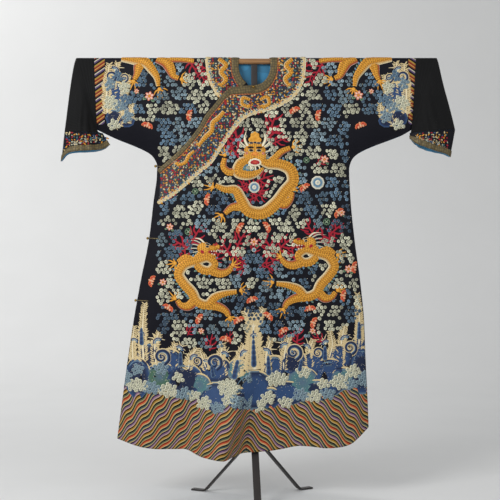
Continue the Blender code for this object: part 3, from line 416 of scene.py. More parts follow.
# Splashes: place, size (mm) and turn
SPRAYS = [
    (-214, 486, 46, 120), (-112, 496, 44, 60), (-40, 500, 48, 130), (32, 506, 48, 50), (98, 526, 46, 120),
    (-340, 540, 48, 120), (308, 550, 46, 110), (-268, 516, 42, 60), (172, 522, 42, 60), (240, 536, 42, 120),
    (-424, 540, 40, 70), (372, 590, 38, 110), (-174, 470, 40, 60), (-8, 560, 40, 90), (-400, 566, 38, 60),
]
SLEEVE_SPRAYS = [(496, 1486, 44, 130), (462, 1452, 36, 100), (456, 1348, 36, 150), (500, 1300, 30, 200)]

# Blue peaks: foot, size (mm), turn and how many
PEAKS = [(-11, 470, 12, 90, 7), (-74, 426, 10, 80, 4), (42, 440, 10, 92, 4), (-150, 430, 8, 100, 3),
         (150, 450, 8, 80, 3), (-396, 540, 9, 92, 4), (356, 560, 9, 90, 4), (-262, 470, 9, 90, 3),
         (236, 490, 9, 90, 3)]

# Spacing of the panels' rows, and heights of the flap's first rows, which lie closer
PANEL_PITCH = 0.0075
FLAP_TOPS = np.array([1.4352, 1.4335, 1.4315, 1.429, 1.4265, 1.422, 1.418, 1.412, 1.406])

# Troughs in the lower sleeves: place and width in shares, depth
SLEEVE_TROUGHS = [(0.34, 0.05, 0.006), (0.52, 0.06, 0.007), (0.72, 0.05, 0.005)]

# Slanted hem stripes: where they start down the cloth, how they wave, and the uneven line they start along
WATER_TOP_V = 1.150
WATER_WAVE_REPEAT = 0.060
WATER_WAVE_HEIGHT = 0.0045
WATER_START_REPEAT = 0.11
WATER_START_HEIGHT = 0.012
THREAD_ROWS = 5

# Sleeve-end stripes: how far out they start, lowest height, slope and repeat
SLEEVE_STRIPE_FOOT = 0.530
SLEEVE_STRIPE_LOW_Z = 1.30
SLEEVE_STRIPE_SLOPE = 0.7
SLEEVE_STRIPE_REPEAT = 0.046

# Where each colour of the two kinds of stripe starts, as a share of one repeat
WATER_STOPS = [
    (0.00, "#7c2415"), (0.07, "#d0603a"), (0.14, "#c4a877"), (0.20, "#0d1517"), (0.27, "#465c5a"),
    (0.34, "#b8a472"), (0.40, "#2c1d34"), (0.47, "#86668a"), (0.54, "#bfa294"), (0.60, "#261b08"),
    (0.67, "#a87a28"), (0.74, "#c4ac70"), (0.80, "#080c0e"), (0.87, "#4f5c4a"), (0.94, "#ab9666"),
]
SLEEVE_STOPS = [
    (0.0, "#8c2f24"), (0.16, "#b08a3e"), (0.30, "#17171c"), (0.46, "#64507a"), (0.58, "#d5ccb0"),
    (0.66, "#17171c"), (0.82, "#9c4a2c"), (0.92, "#c9a052"),
]

# Buttons' waist: how far it draws in, as a share of the radius, and how wide it is, as an angle
BUTTON_WAIST = 0.06
BUTTON_WAIST_ANGLE = 0.12

# Buttons' loops: start and end in the front view, and how far they stand off the flap
CLOSURES = [
    ("neck", -0.0105, 1.4225, -0.0105, 1.4080, 0.0024),
    ("chest", -0.1000, 1.4320, -0.0975, 1.3860, 0.0024),
    ("underarm", -0.3440, 1.1550, -0.3120, 1.1500, 0.0024),
    ("side_upper", -0.3712, 0.9030, -0.3380, 0.9010, -SEAM),
    ("side_lower", -0.4132, 0.6860, -0.3730, 0.6840, -SEAM),
]
LOOP_WIDTH = 0.0034
LOOP_THICKNESS = 0.0016

# Neck lining: its sides, its top and foot along the cloth, and its two faces off the hanging form
NECK_LINING_X = (-0.115, 0.101)
NECK_LINING_V = (SHOULDER_ARC + 0.007, 0.22)
NECK_LINING_OUT = (-SEAM - 0.0011, -SEAM - 0.0003)

# A cuff's upper seam, from its outer end to its inner end, as x and as z
CUFF_TOP_X = (0.664, 0.546)
CUFF_TOP_Z = (1.272, 1.267)

# Splashes on a cuff: place, size (mm) and turn
CUFF_SPRAYS = [(650, 1214, 20, 110), (632, 1226, 20, 100), (612, 1230, 20, 95), (592, 1236, 20, 90),
               (574, 1242, 18, 80), (558, 1250, 16, 70)]

# Stand
HUB_Z = 0.190
HUB_RADIUS = 0.020
LEG_WIDTH = 0.025
LEG_THICKNESS = 0.006
LEG_REACH = 0.247
FOOT_LENGTH = 0.052
LEGS = {"front": 3.5, "rear_left": 123.5, "rear_right": 243.5}
KNEE_RADIUS = 0.012
BAR_CORNER = 0.0014
POST_CORNER = 0.002
CORNER_POINTS = 5

# Stage: sweep, lights as name, size, place, aim and share of the key light's power, room's fill, camera
SWEEP_Y = 5.4
SWEEP_RADIUS = 2.2
STAGE_LIGHTS = [
    ("key_light", (1.8, 1.8), (-2.6, -3.0, 2.8), (0.0, 0.0, 0.8), 1.15),
    ("fill_light", (2.0, 2.4), (2.6, -3.0, 1.8), (0.0, 0.0, 0.8), 0.25),
    ("wall_light", (4.0, 2.0), (-3.4, 2.6, 4.2), (-1.8, 5.4, 1.6), 1.1),
]
WORLD_STRENGTH = 0.55
CAMERA_LENS = 82.3
CAMERA_PLACE = (-0.0228, FRAME_Y - 4.0, 0.862)

# Ground that clouds fill: plain strips down its sides, its ends and top, and the plain gussets under the arms
LEFT_STRIP = 0.030
RIGHT_STRIP = 0.010
GROUND_END_X = 0.436
GROUND_TOP_Z = 1.530
LEFT_GUSSET = {"x": -0.343, "top_z": 1.306}
RIGHT_GUSSET = {"x": 0.320, "top_z": 1.334, "foot_z": 1.10}

# Spacing of a facing's stitches across and up, how far each may be moved, and the room round a dragon (mm)
FACING_PITCH_X = 9.5
FACING_PITCH_Z = 8.5
FACING_SHAKE = 2.4
FACING_ROOM = 2.5

# Spacing of the cloud lobes and of their clumps, how far each may be moved, and the room between them (mm)
LOBE_PITCH = 14.0
LOBE_SHAKE = 2.4
LOBE_ROOM = 4.5
CLUMP_PITCH = 58.0
CLUMP_SHAKE = 13.0
CLUMP_ROOM = 9.5

# Room round a bat, circles over the heads, head sizes, and how far a pair's second dragon hangs lower (mm)
BAT_REACH = 13
HEAD_CIRCLES = [(-6, 1215, 44), (178, 893, 44), (-177, 865, 44)]
HEAD_SIZE = 84
SMALL_HEAD_SIZE = 22
PAIRED_DROPS = {"side": 28, "shoulder": 0}

# A dragon on the back facing, from a start along it: place and width (mm)
BACK_FACING_DRAGON = [(-22, 1432, 12), (0, 1444, 15), (16, 1424, 14), (30, 1440, 8)]

# Motifs in mm: place, then size, turn in degrees or colour set
CLOUDS = [
    (138, 1282, "cream"), (194, 1233, "cream"), (243, 1254, "teal"), (299, 1254, "royal"),
    (320, 1352, "cream"), (243, 1370, "royal"), (194, 1422, "cream"), (299, 1415, "teal"),
    (425, 1366, "royal"), (271, 1156, "cream"), (152, 1135, "teal"), (306, 1079, "royal"),
    (170, 1026, "royal"), (250, 1020, "cream"), (313, 946, "navy"), (82, 936, "cream"), (134, 960, "cream"),
    (40, 1006, "royal"), (89, 1068, "cream"), (86, 1135, "cream"), (-82, 1104, "cream"),
    (-254, 978, "cream"), (-282, 1034, "royal"), (-121, 1030, "navy"), (-114, 932, "cream"),
    (-156, 1142, "teal"), (-233, 1429, "cream"), (-174, 1394, "cream"), (-247, 1380, "royal"),
    (-268, 1303, "teal"), (-320, 1268, "royal"), (-348, 1342, "cream"), (-429, 1359, "royal"),
    (-317, 1170, "cream"), (-289, 1429, "teal"), (-401, 1450, "royal"), (-128, 911, "cream"),
    (-345, 872, "teal"), (-314, 834, "cream"), (-352, 792, "cream"), (-261, 841, "royal"),
    (-222, 757, "cream"), (-138, 760, "cream"), (-79, 778, "teal"), (8, 806, "royal"), (-2, 729, "cream"),
    (68, 922, "cream"), (106, 841, "cream"), (103, 774, "teal"), (166, 774, "royal"), (226, 788, "cream"),
    (316, 855, "cream"), (334, 740, "cream"), (-86, 659, "royal"), (-37, 680, "navy"), (16, 676, "royal"),
    (64, 712, "teal"), (-317, 708, "cream"), (-331, 638, "navy"), (-275, 634, "royal"),
    (-244, 600, "cream"), (-180, 596, "teal"), (-124, 589, "teal"), (-68, 568, "cream"),
    (159, 662, "royal"), (106, 638, "navy"), (254, 638, "cream"), (302, 673, "royal"), (138, 610, "teal"),
    (236, 596, "cream"), (-114, 988, "navy"), (215, 960, "teal"), (-180, 1107, "cream"),
    (334, 925, "royal"), (-166, 974, "teal"), (208, 1079, "royal"),
]
BATS = [
    (-233, 1331, 80), (-380, 1296, -20), (131, 1348, 30), (215, 1331, 80), (362, 1296, 20), (166, 1079, 40),
    (-58, 939, 60), (36, 942, -60), (-62, 620, 30), (-107, 554, -10), (-198, 624, 60), (-306, 662, -30),
    (-16, 690, 20), (92, 582, 30), (40, 634, -40), (184, 659, 10), (198, 610, 70), (302, 704, 80),
    (341, 802, 80), (-362, 754, 70), (285, 992, 50), (-170, 1037, 80),
]
FLOWERS = [
    (-373, 1398, 32), (355, 1401, 32), (-324, 750, 24), (320, 796, 28), (-300, 942, 24), (296, 992, 24),
    (-9, 890, 28), (236, 1177, 28), (-418, 1415, 18), (400, 1415, 18), (-191, 582, 21), (194, 582, 21),
]
FLAMES = [
    (-68, 1268, 52, 100), (-79, 1212, 42, 120), (61, 1303, 52, 70), (58, 1261, 42, 40),
    (-34, 1093, 38, 160), (26, 1107, 42, 20), (8, 1048, 35, -20), (-268, 890, 46, 150), (-205, 914, 46, 60),
    (-107, 876, 46, 120), (-51, 897, 46, 60), (-72, 827, 46, -80), (40, 890, 46, 120), (103, 883, 46, 40),
    (50, 827, 46, -60), (187, 939, 42, 120), (240, 911, 46, 150), (278, 932, 42, 40), (-156, 544, 35, 80),
    (145, 561, 38, 80), (-219, 1492, 42, -60), (215, 1492, 42, -120), (-188, 1457, 32, -70),
    (184, 1457, 32, -110), (229, 1170, 28, 20),
    (-96, 1240, 40, 90), (84, 1240, 36, 20), (-20, 1040, 30, 200), (24, 1076, 34, 60), (-44, 1082, 30, 120),
    (-244, 856, 40, 90), (-130, 842, 36, 60), (-4, 876, 30, 90), (128, 856, 38, 100), (-56, 800, 34, 200),
    (34, 800, 34, -20), (176, 1500, 40, 30), (-180, 1500, 40, 150), (-226, 588, 28, 60), (216, 560, 30, 120),
    (-90, 560, 26, 90), (90, 572, 26, 90),
]
ROUNDELS = [
    (-236, 925, 24), (243, 960, 24), (173, 1174, 21), (-212, 1065, 21),
]
PEARLS = [
    (-8, 1079, 42), (212, 1096, 50), (-9, 862, 16),
]
CLAWS = [
    (-110, 1191, 95, 21, "great"), (128, 1219, 15, 21, "great"), (-121, 981, -130, 21, "great"),
    (128, 1072, 60, 21, "great"), (-152, 1079, 165, 21, "great"), (82, 838, 130, 21, "side"),
    (282, 844, -10, 21, "side"), (92, 656, -110, 21, "side"), (282, 722, 50, 21, "side"),
    (54, 750, 170, 21, "side"), (-338, 1422, -70, 21, "shoulder"), (-429, 1450, -110, 21, "shoulder"),
    (-261, 1457, 0, 21, "shoulder"),
]
DRAGON_LINES = {
    "great_body": [(4, 1176, 20), (40, 1160, 34), (80, 1158, 40), (116, 1140, 44), (126, 1104, 44),
                   (98, 1066, 44),
        (66, 1024, 46), (16, 990, 46), (-30, 1000, 44), (-52, 1036, 40), (-74, 1070, 34),
        (-107, 1072, 26), (-142, 1086, 18)],
    "great_coil": [(-20, 1180, 26), (-58, 1160, 36), (-66, 1132, 38), (-36, 1120, 34), (4, 1130, 22),
                   (24, 1146, 8)],
    "great_left_arm": [(-65, 1138, 21), (-96, 1132, 21), (-114, 1149, 18), (-110, 1180, 14)],
    "great_right_arm": [(40, 1160, 24), (61, 1177, 21), (86, 1202, 18), (117, 1216, 14)],
    "great_left_leg": [(-44, 1012, 28), (-86, 1009, 21), (-110, 988, 14)],
    "great_right_leg": [(68, 1037, 28), (96, 1020, 28), (117, 1037, 18), (124, 1062, 14)],
    "side_body": [(190, 876, 28), (208, 855, 28), (194, 827, 32), (162, 820, 32), (145, 841, 28),
        (166, 862, 32), (208, 852, 35), (254, 834, 38), (268, 806, 38), (250, 774, 38), (222, 743, 38),
        (204, 712, 35), (170, 701, 35), (145, 726, 32), (110, 740, 24), (68, 746, 18)],
    "side_left_arm": [(156, 820, 28), (120, 810, 24), (96, 820, 18), (86, 834, 14)],
    "side_right_arm": [(215, 848, 24), (246, 862, 21), (271, 848, 14)],
    "side_left_leg": [(173, 701, 28), (131, 694, 24), (103, 676, 18), (96, 662, 14)],
    "side_right_leg": [(212, 715, 28), (240, 694, 24), (260, 698, 18), (274, 715, 14)],
    "shoulder_body": [(-471, 1534, 32), (-415, 1527, 46), (-387, 1516, 38), (-366, 1492, 32),
        (-348, 1464, 24), (-342, 1432, 14)],
    "shoulder_leg": [(-401, 1524, 32), (-412, 1499, 28), (-418, 1474, 18), (-426, 1457, 14)],
    "shoulder_thigh": [(-345, 1534, 32), (-314, 1516, 32), (-300, 1492, 28), (-289, 1468, 18),
        (-272, 1460, 14)],
    "shoulder_arm": [(-303, 1530, 21), (-254, 1527, 18), (-219, 1520, 14)],
    "collar_left": [(-132, 1527, 14), (-107, 1506, 18), (-124, 1482, 18), (-107, 1457, 18),
        (-128, 1432, 10)],
    "collar_right": [(124, 1527, 14), (103, 1506, 18), (120, 1482, 18), (100, 1457, 18), (114, 1432, 10)],
    "collar_centre_left": [(-23, 1384, 12), (-48, 1390, 14), (-51, 1370, 14), (-26, 1356, 14)],
    "collar_centre_right": [(12, 1384, 12), (36, 1394, 14), (44, 1373, 14), (19, 1356, 14)],
    "collar_slope": [(-114, 1342, 14), (-132, 1320, 18), (-152, 1303, 18), (-156, 1275, 18),
        (-177, 1254, 18), (-202, 1222, 10)],
    "collar_low": [(-216, 1205, 10), (-233, 1191, 14), (-247, 1166, 14), (-275, 1156, 10)],
}


def linear(code):
    """A hex colour as three linear values: each sRGB share is raised by the display curve."""
    shares = np.array([int(code[k:k + 2], 16) / 255 for k in (1, 3, 5)])
    return tuple(np.where(shares <= 0.04045, shares / 12.92, ((shares + 0.055) / 1.055) ** 2.4).tolist())


def smooth_line(xs, ys, at):
    """A curve through a short table that doesn't overshoot between its rows (monotone cubic)."""
    xs, ys, at = (np.asarray(a, float) for a in (xs, ys, at))
    if xs[0] > xs[-1]:
        xs, ys = xs[::-1], ys[::-1]
    step, rise = np.diff(xs), np.diff(ys)
    slope = rise / step
    tangent = np.concatenate([[slope[0]], np.zeros(len(slope) - 1), [slope[-1]]])
    turning = slope[:-1] * slope[1:] > 0
    weight_a, weight_b = 2 * step[1:] + step[:-1], step[1:] + 2 * step[:-1]
    safe_a = np.where(turning, slope[:-1], 1.0)
    safe_b = np.where(turning, slope[1:], 1.0)
    mean = (weight_a + weight_b) / (weight_a / safe_a + weight_b / safe_b)
    tangent[1:-1] = np.where(turning, mean, 0.0)
    at = np.clip(at, xs[0], xs[-1])
    k = np.clip(np.searchsorted(xs, at, side="right") - 1, 0, len(step) - 1)
    t = (at - xs[k]) / step[k]
    start = (1 + 2 * t) * (1 - t) ** 2 * ys[k] + t * (1 - t) ** 2 * step[k] * tangent[k]
    end = t * t * (3 - 2 * t) * ys[k + 1] + t * t * (t - 1) * step[k] * tangent[k + 1]
    return start + end


def swell(share):
    """0 at an edge, rising to 1 at a share of 1 with a level finish: 1 - (1 - share) squared."""
    return 1 - (1 - np.clip(share, 0, 1)) ** 2


def ease(share):
    """A smooth step from 0 to 1: 3 share squared - 2 share cubed."""
    share = np.clip(share, 0, 1)
    return share * share * (3 - 2 * share)


def v_at(z):
    """Distance along the cloth from the bar's top down to a height below the bar's axis."""
    return SHOULDER_ARC + BAR_AXIS_Z - np.asarray(z, float)


def z_at(v):
    """Height of the cloth v metres along it from the bar's top."""
    return BAR_AXIS_Z - np.maximum(np.asarray(v, float) - SHOULDER_ARC, 0)


def side_x(side, z):
    """Where the robe's left or right side lies at a height, sleeve end included."""
    table = LEFT_OUTLINE if side < 0 else RIGHT_OUTLINE
    low_x, low_z = table["x"][0], table["z"][0]
    z = np.asarray(z, float)
    share = np.clip((z - low_z) / (BAR_AXIS_Z + DRAPE_RADIUS - low_z), 0, 1)
    join = low_x + share * (SLEEVE_JOIN_TOP_X[side] - low_x)
    return np.where(z > low_z, join, smooth_line(table["z"], table["x"], z))


def neck_x(side, z):
    """The front neckline's left or right edge at a height: upright sides over half an ellipse."""
    drop = np.clip((NECK_ROUND_Z - z) / NECK_DROP, 0, 1)
    return NECK_CENTRE_X + side * NECK_HALF_WIDTH * np.sqrt(1 - drop * drop)


def flap_edge_x(z):
    """The flap's curved top edge, from the neck to the underarm, and the side below it."""
    edge_x, edge_z = FRONT_TRIM["edge_x"][4:], FRONT_TRIM["edge_z"][4:]
    curve = np.maximum(smooth_line(edge_z, edge_x, z), side_x(-1, z))
    return np.where(z > edge_z[-1], curve, side_x(-1, z))


def seam_x(z):
    """The front centre seam, which drifts to the wearer's right towards the hem."""
    return smooth_line([0.15, 0.28, 0.38, 0.80, 1.44], [-0.042, -0.026, -0.016, -0.010, -0.007], z)


def hem_warp(face, x, v):
    """Moves the lowest part of a panel so that its last row follows the curved hem."""
    table = FRONT_HEM if face < 0 else BACK_HEM
    hem_v = v_at(smooth_line(table["x"], table["z"], x))
    low = v_at(HEM_Z)
    return v + (hem_v - low) * ease((v - HEM_RAISE_FROM) / (low - HEM_RAISE_FROM))


def lap_lift(x):
    """How far the flap stands off the panels' plane: none at the centre seam, all over the under front."""
    return LAP_LIFT * ease((-0.006 - np.asarray(x, float)) / 0.023)


def outline_points():
    """The side outlines as two close rows of points, for measuring distance from the edge."""
    rows = []
    for table in (LEFT_OUTLINE, RIGHT_OUTLINE):
        heights = np.linspace(table["z"][0], table["z"][-1], 120)
        widths = smooth_line(table["z"], table["x"], heights)
        below = np.linspace(0.01, 0.2, 8)
        slope = (widths[-1] - widths[-2]) / (heights[-2] - heights[-1])
        rows.append(np.column_stack([np.append(widths, widths[-1] + slope * below),
                                     np.append(heights, heights[-1] - below)]))
    return np.concatenate(rows)


def fold_depth(folds, x, z, hem_z):
    """Sum of the folds: each is a bell-shaped ridge whose height eases in from its top down to the hem."""
    total = np.zeros(np.broadcast(x, z).shape)
    for row in folds:
        fold = dict(zip(FOLD_COLUMNS, row))
        share = (fold["top_z"] - z) / (fold["top_z"] - hem_z)
        centre = fold["top_x"] + (fold["hem_x"] - fold["top_x"]) * np.clip(share, 0, 1.2)
        spread = 0.55 + 0.45 * np.clip(share, 0, 1)
        width = np.where(x < centre, fold["left_width"], fold["right_width"]) * spread
        total = total + fold["depth"] * ease(share) * np.exp(-(((x - centre) / width) ** 2))
    return total


FORM = {}


def hang_cloth(crease):
    """Works out the hanging form once, on a square grid of the front view, for the front and the back.

    Depth is the bar's round-off near the outline, plus the belly, the folds and the fine creases, each
    swelling in from the outline. The slopes are its differences, and the arc is the summed slant length
    of each row from the middle outwards.
    """
    if FORM:
        return
    x, z = np.meshgrid(FORM_X, FORM_Z)
    outline = outline_points()
    from_edge = np.empty_like(x)
    for row in range(len(FORM_Z)):
        gaps = np.hypot(x[row][:, None] - outline[:, 0], z[row][:, None] - outline[:, 1])
        from_edge[row] = gaps.min(axis=1)
    belly = smooth_line(BELLY["z"], BELLY["depth"], np.minimum(z, BAR_AXIS_Z))
    for face, folds, creases in ((-1, FRONT_FOLDS, FRONT_CREASES), (1, BACK_FOLDS, BACK_CREASES)):
        depth = SEAM / 2 + DRAPE_RADIUS * swell(from_edge / ROUND_REACH)
        depth += belly * swell(from_edge / BELLY_REACH)
        depth += fold_depth(folds, x, z, HEM_Z) * swell(from_edge / FOLD_REACH)
        depth += crease * fold_depth(creases, x, z, HEM_Z) * swell(from_edge / CREASE_REACH)
        slope_z, slope_x = np.gradient(depth, FORM_STEP)
        slant = np.sqrt(1 + slope_x ** 2) * FORM_STEP
        arc = np.cumsum(slant, axis=1)
        arc -= arc[:, np.argmin(np.abs(FORM_X))][:, None]
        FORM[face] = {"depth": depth, "slope_x": slope_x, "slope_z": slope_z, "arc": arc}


def read_form(face, name, x, z):
    """Reads one of the form's tables between its grid points, in straight lines both ways."""
    table = FORM[face][name]
    x, z = np.broadcast_arrays(np.asarray(x, float), np.asarray(z, float))
    column = np.clip((x - FORM_X[0]) / FORM_STEP, 0, len(FORM_X) - 1.001)
    row = np.clip((z - FORM_Z[0]) / FORM_STEP, 0, len(FORM_Z) - 1.001)
    i, j = row.astype(int), column.astype(int)
    a, b = row - i, column - j
    upper = table[i + 1, j] * (1 - b) + table[i + 1, j + 1] * b
    return (table[i, j] * (1 - b) + table[i, j + 1] * b) * (1 - a) + upper * a


def on_cloth(face, x, v, out):
    """A point on the cloth, moved out along its normal.

    On the bar it lies on the bar's arc at the angle v over the radius, and past the top on the other
    side; below, it stands at the form's depth, with the normal of the form's slopes.
    """
    x, v, out = np.broadcast_arrays(np.asarray(x, float), np.asarray(v, float), np.asarray(out, float))
    angle = np.minimum(v / DRAPE_RADIUS, math.pi / 2)
    z = BAR_AXIS_Z - np.maximum(v - SHOULDER_ARC, 0) + DRAPE_RADIUS * np.cos(angle)
    low_z = np.minimum(z, BAR_AXIS_Z)
    over_bar = v < SHOULDER_ARC
    rise = SEAM / 2 * v / SHOULDER_ARC
    y = face * np.where(over_bar, DRAPE_RADIUS * np.sin(angle) + rise, read_form(face, "depth", x, low_z))
    shade = np.where(over_bar, 0.0, 1.0)
    normal_x = -read_form(face, "slope_x", x, low_z) * shade
    normal_y = face * np.where(over_bar, np.sin(angle), 1.0)
    normal_z = np.where(over_bar, np.cos(angle), -read_form(face, "slope_z", x, low_z))
    normal = np.stack([normal_x, normal_y, normal_z], axis=-1)
    normal /= np.linalg.norm(normal, axis=-1, keepdims=True)
    return np.stack([x, y + FRAME_Y, z], axis=-1) + normal * out[..., None]


def set_inputs(item, inputs):
    """Links each input that is given as a node or a socket, and sets any other, a hex colour among them.

    A node stands for the first output that its settings leave in use.
    """
    for key, value in inputs.items():
        if isinstance(value, bpy.types.Node):
            value = next(socket for socket in value.outputs if socket.enabled)
        if isinstance(value, bpy.types.NodeSocket):
            item.id_data.links.new(value, item.inputs[key])
        elif isinstance(value, str):
            item.inputs[key].default_value = (*linear(value), 1.0)
        else:
            item.inputs[key].default_value = value


def add_node(tree, kind, inputs=None, stops=(), **settings):
    """Adds one node with its settings, its inputs and the stops of its colour ramp."""
    item = tree.nodes.new("ShaderNode" + kind)
    for key, value in settings.items():
        setattr(item, key, value)
    set_inputs(item, inputs or {})
    if stops:
        while len(item.color_ramp.elements) < len(stops):
            item.color_ramp.elements.new(1.0)
        for element, (place, code) in zip(item.color_ramp.elements, stops):
            element.position = place
            element.color = (*linear(code), 1.0)
    return item


def start_material(name, **sockets):
    """A new material, its shader with the even values on its own sockets, and add_node for its tree."""
    material = bpy.data.materials.new(name)
    material.use_nodes = True
    shader = material.node_tree.nodes["Principled BSDF"]
    set_inputs(shader, {key.replace("_", " "): value for key, value in sockets.items()})
    return material, shader, functools.partial(add_node, material.node_tree)


def mesh_object(name, points, faces, uv, materials, slots=None, colours=None):
    """Puts points, faces, a UV per point and a slot per face into a linked object at the origin."""
    mesh = bpy.data.meshes.new(name)
    mesh.from_pydata(np.asarray(points).reshape(-1, 3).tolist(), [], faces)
    loops = np.empty(len(mesh.loops), dtype=np.int64)
    mesh.loops.foreach_get("vertex_index", loops)
    layer = mesh.uv_layers.new(name="cloth")
    layer.data.foreach_set("uv", np.asarray(uv, float).reshape(-1, 2)[loops].ravel())
    for material in materials:
        mesh.materials.append(material)
    if slots is not None:
        mesh.polygons.foreach_set("material_index", np.asarray(slots, dtype=np.int32))
    if colours is not None:
        thread = mesh.color_attributes.new("thread", "FLOAT_COLOR", "POINT")
        thread.data.foreach_set("color", np.asarray(colours, float).ravel())
    mesh.shade_smooth()
    obj = bpy.data.objects.new(name, mesh)
    bpy.context.scene.collection.objects.link(obj)
    return obj


def turn_out(obj, merge=False):
    """Points a closed shell's faces outwards, after its doubled points are merged."""
    shape = bmesh.new()
    shape.from_mesh(obj.data)
    if merge:
        bmesh.ops.remove_doubles(shape, verts=shape.verts, dist=0.00001)
    bmesh.ops.recalc_face_normals(shape, faces=shape.faces)
    shape.to_mesh(obj.data)
    shape.free()


def grid_faces(rows, columns):
    """The four-sided faces of a grid of points, row by row."""
    index = np.arange(rows * columns).reshape(rows, columns)
    return np.stack([index[:-1, :-1], index[:-1, 1:], index[1:, 1:], index[1:, :-1]], axis=-1).reshape(-1, 4)


def closed_wall(name, inner, outer, uv, materials, ring=False):
    """Two grids of points joined by rims into one closed wall.

    The first slot is the outer side and the last the inner side and the rims. A ring's last column
    repeats its first, and the two are merged.
    """
    rows, columns = inner.shape[:2]
    second = rows * columns
    index = np.arange(second).reshape(rows, columns)
    edges = [index[0], index[-1]] if ring else [index[0], index[-1], index[:, 0], index[:, -1]]
    rims = np.concatenate([np.stack([e[:-1], e[1:], e[1:] + second, e[:-1] + second],
                                    axis=-1) for e in edges])
    skin = grid_faces(rows, columns)
    faces = np.concatenate([skin + second, skin, rims])
    slots = np.full(len(faces), len(materials) - 1)
    slots[:len(skin)] = 0
    points = np.concatenate([inner.reshape(-1, 3), outer.reshape(-1, 3)])
    flat = np.concatenate([uv.reshape(-1, 2), uv.reshape(-1, 2)])
    obj = mesh_object(name, points, faces.tolist(), flat, materials, slots)
    turn_out(obj, merge=ring)
    obj.data.shade_smooth()
    return obj


def finish_piece(obj, nodes=()):
    """Lets a piece ride on the root, and hides the solids that it stands for."""
    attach(obj, "root")
    if nodes:
        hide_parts(*nodes)


def nodes_named(*starts):
    """The names of the frame's nodes that are one of these or its lower half."""
    return [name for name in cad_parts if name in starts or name.removesuffix("_skirt") in starts]


class Needlework:
    """Gathers patches of embroidery as points in the front view, each with its height, colour and UV."""

    def __init__(self):
        self.points, self.faces, self.colours, self.uv, self.curl = [], [], [], [], []
        self.count = 0

    def add(self, x, z, height, faces, colours, uv, curl=0.0):
        """Adds one batch of patches. Every array has one row per point, and curl draws a scroll on it."""
        self.points.append(np.stack([x.ravel(), z.ravel(), height.ravel()], axis=-1))
        self.faces.extend((np.asarray(block) + self.count).tolist() for block in faces)
        self.colours.append(colours.reshape(-1, 4))
        self.uv.append(uv.reshape(-1, 2))
        self.curl.append(np.full(x.size, curl))
        self.count += x.size

    def place(self, name, face, base, material):
        """Lays the patches on one face's cloth: x stays, z runs along the cloth, height adds to a base."""
        points = np.concatenate(self.points)
        x = np.clip(points[:, 0], side_x(-1, points[:, 1]) + 0.002, side_x(1, points[:, 1]) - 0.002)
        v = v_at(points[:, 1])
        laid = on_cloth(face, x, v, points[:, 2] + base(x, points[:, 1]))
        faces = [row for block in self.faces for row in block]
        if face > 0:
            faces = [row[::-1] for row in faces]
        return self.build(name, laid, faces, material)

    def build(self, name, laid, faces, material):
        """Makes the object, with its thread colours and its scrolls as attributes."""
        obj = mesh_object(name, laid, faces, np.concatenate(self.uv), [material],
                          colours=np.concatenate(self.colours))
        curl = obj.data.attributes.new("curl", "FLOAT", "POINT")
        curl.data.foreach_set("value", np.concatenate(self.curl))
        return obj


def thread(name, metal=0.0):
    """A thread colour as four numbers: its linear colour, and how metallic its thread is."""
    return np.array([*linear(THREADS[name]), metal])


def lobes(work, x, z, size, colours, aspect=1.0, turn=0.0, height=1.0, point=0.0, curl=0.0, sectors=10):
    """Low domes of satin stitch: rings at shares 0.6, 0.9 and 1 of a circle round a centre point.

    Each circle is stretched by its aspect, swells by 1 + point * cosine on its leading side, and is
    turned. Heights fall from full to just under the cloth at the rim. Colours run from centre to rim.
    A stitch of six sectors has the middle and outer rings only.
    """
    x, z, size, aspect, turn, height, point = np.broadcast_arrays(
        *[np.atleast_1d(np.asarray(a, float)) for a in (x, z, size, aspect, turn, height, point)])
    count = len(x)
    rings = [0, 1, 2] if sectors > 6 else [0, 2]
    colours = np.broadcast_to(colours, (count, 4, 4))[:, [0] + [ring + 1 for ring in rings]]
    angle = np.arange(sectors) * 2 * math.pi / sectors
    share = np.array([0.6, 0.9, 1.0])[None, rings, None]
    swollen = 1 + point[:, None, None] * np.cos(angle)
    along = share * np.cos(angle) * swollen * (size * aspect)[:, None, None]
    across = share * np.sin(angle) * size[:, None, None]
    cosine, sine = np.cos(turn)[:, None, None], np.sin(turn)[:, None, None]
    px = x[:, None, None] + along * cosine - across * sine
    pz = z[:, None, None] + along * sine + across * cosine
    drop = np.array([0.85, 0.45, 0.0])[None, rings, None]
    rise = RELIEF * height[:, None, None] * np.minimum(1, size[:, None, None] / FULL_RELIEF_RADIUS)
    ph = np.broadcast_to(rise * drop - SINK * (share > 0.95), px.shape)
    flat_x = np.concatenate([x[:, None], px.reshape(count, -1)], axis=1)
    flat_z = np.concatenate([z[:, None], pz.reshape(count, -1)], axis=1)
    flat_h = np.concatenate([rise[:, :, 0], ph.reshape(count, -1)], axis=1)
    shades = np.concatenate([colours[:, :1], np.repeat(colours[:, 1:], sectors, axis=1)], axis=1)
    uv = np.stack([flat_x - x[:, None], flat_z - z[:, None]], axis=-1)
    step = np.arange(sectors)
    after = (step + 1) % sectors
    start = (np.arange(count) * (1 + len(rings) * sectors))[:, None, None]
    fan = np.stack([0 * step, 1 + step, 1 + after], axis=-1) + start
    faces = [fan.reshape(-1, 3)]
    for ring in range(len(rings) - 1):
        low, high = 1 + ring * sectors, 1 + (ring + 1) * sectors
        band = np.stack([low + step, high + step, high + after, low + after], axis=-1) + start
        faces.append(band.reshape(-1, 4))
    work.add(flat_x, flat_z, flat_h, faces, shades, uv, curl)


def around(x, z, reach, angle):
    """Points a reach away from a centre, at an angle."""
    return x + reach * np.cos(angle), z + reach * np.sin(angle)


def distances(rows):
    """How far along a path of (x, z) rows each of its points is."""
    return np.concatenate([[0], np.cumsum(np.hypot(*np.diff(rows[:, :2], axis=0).T))])


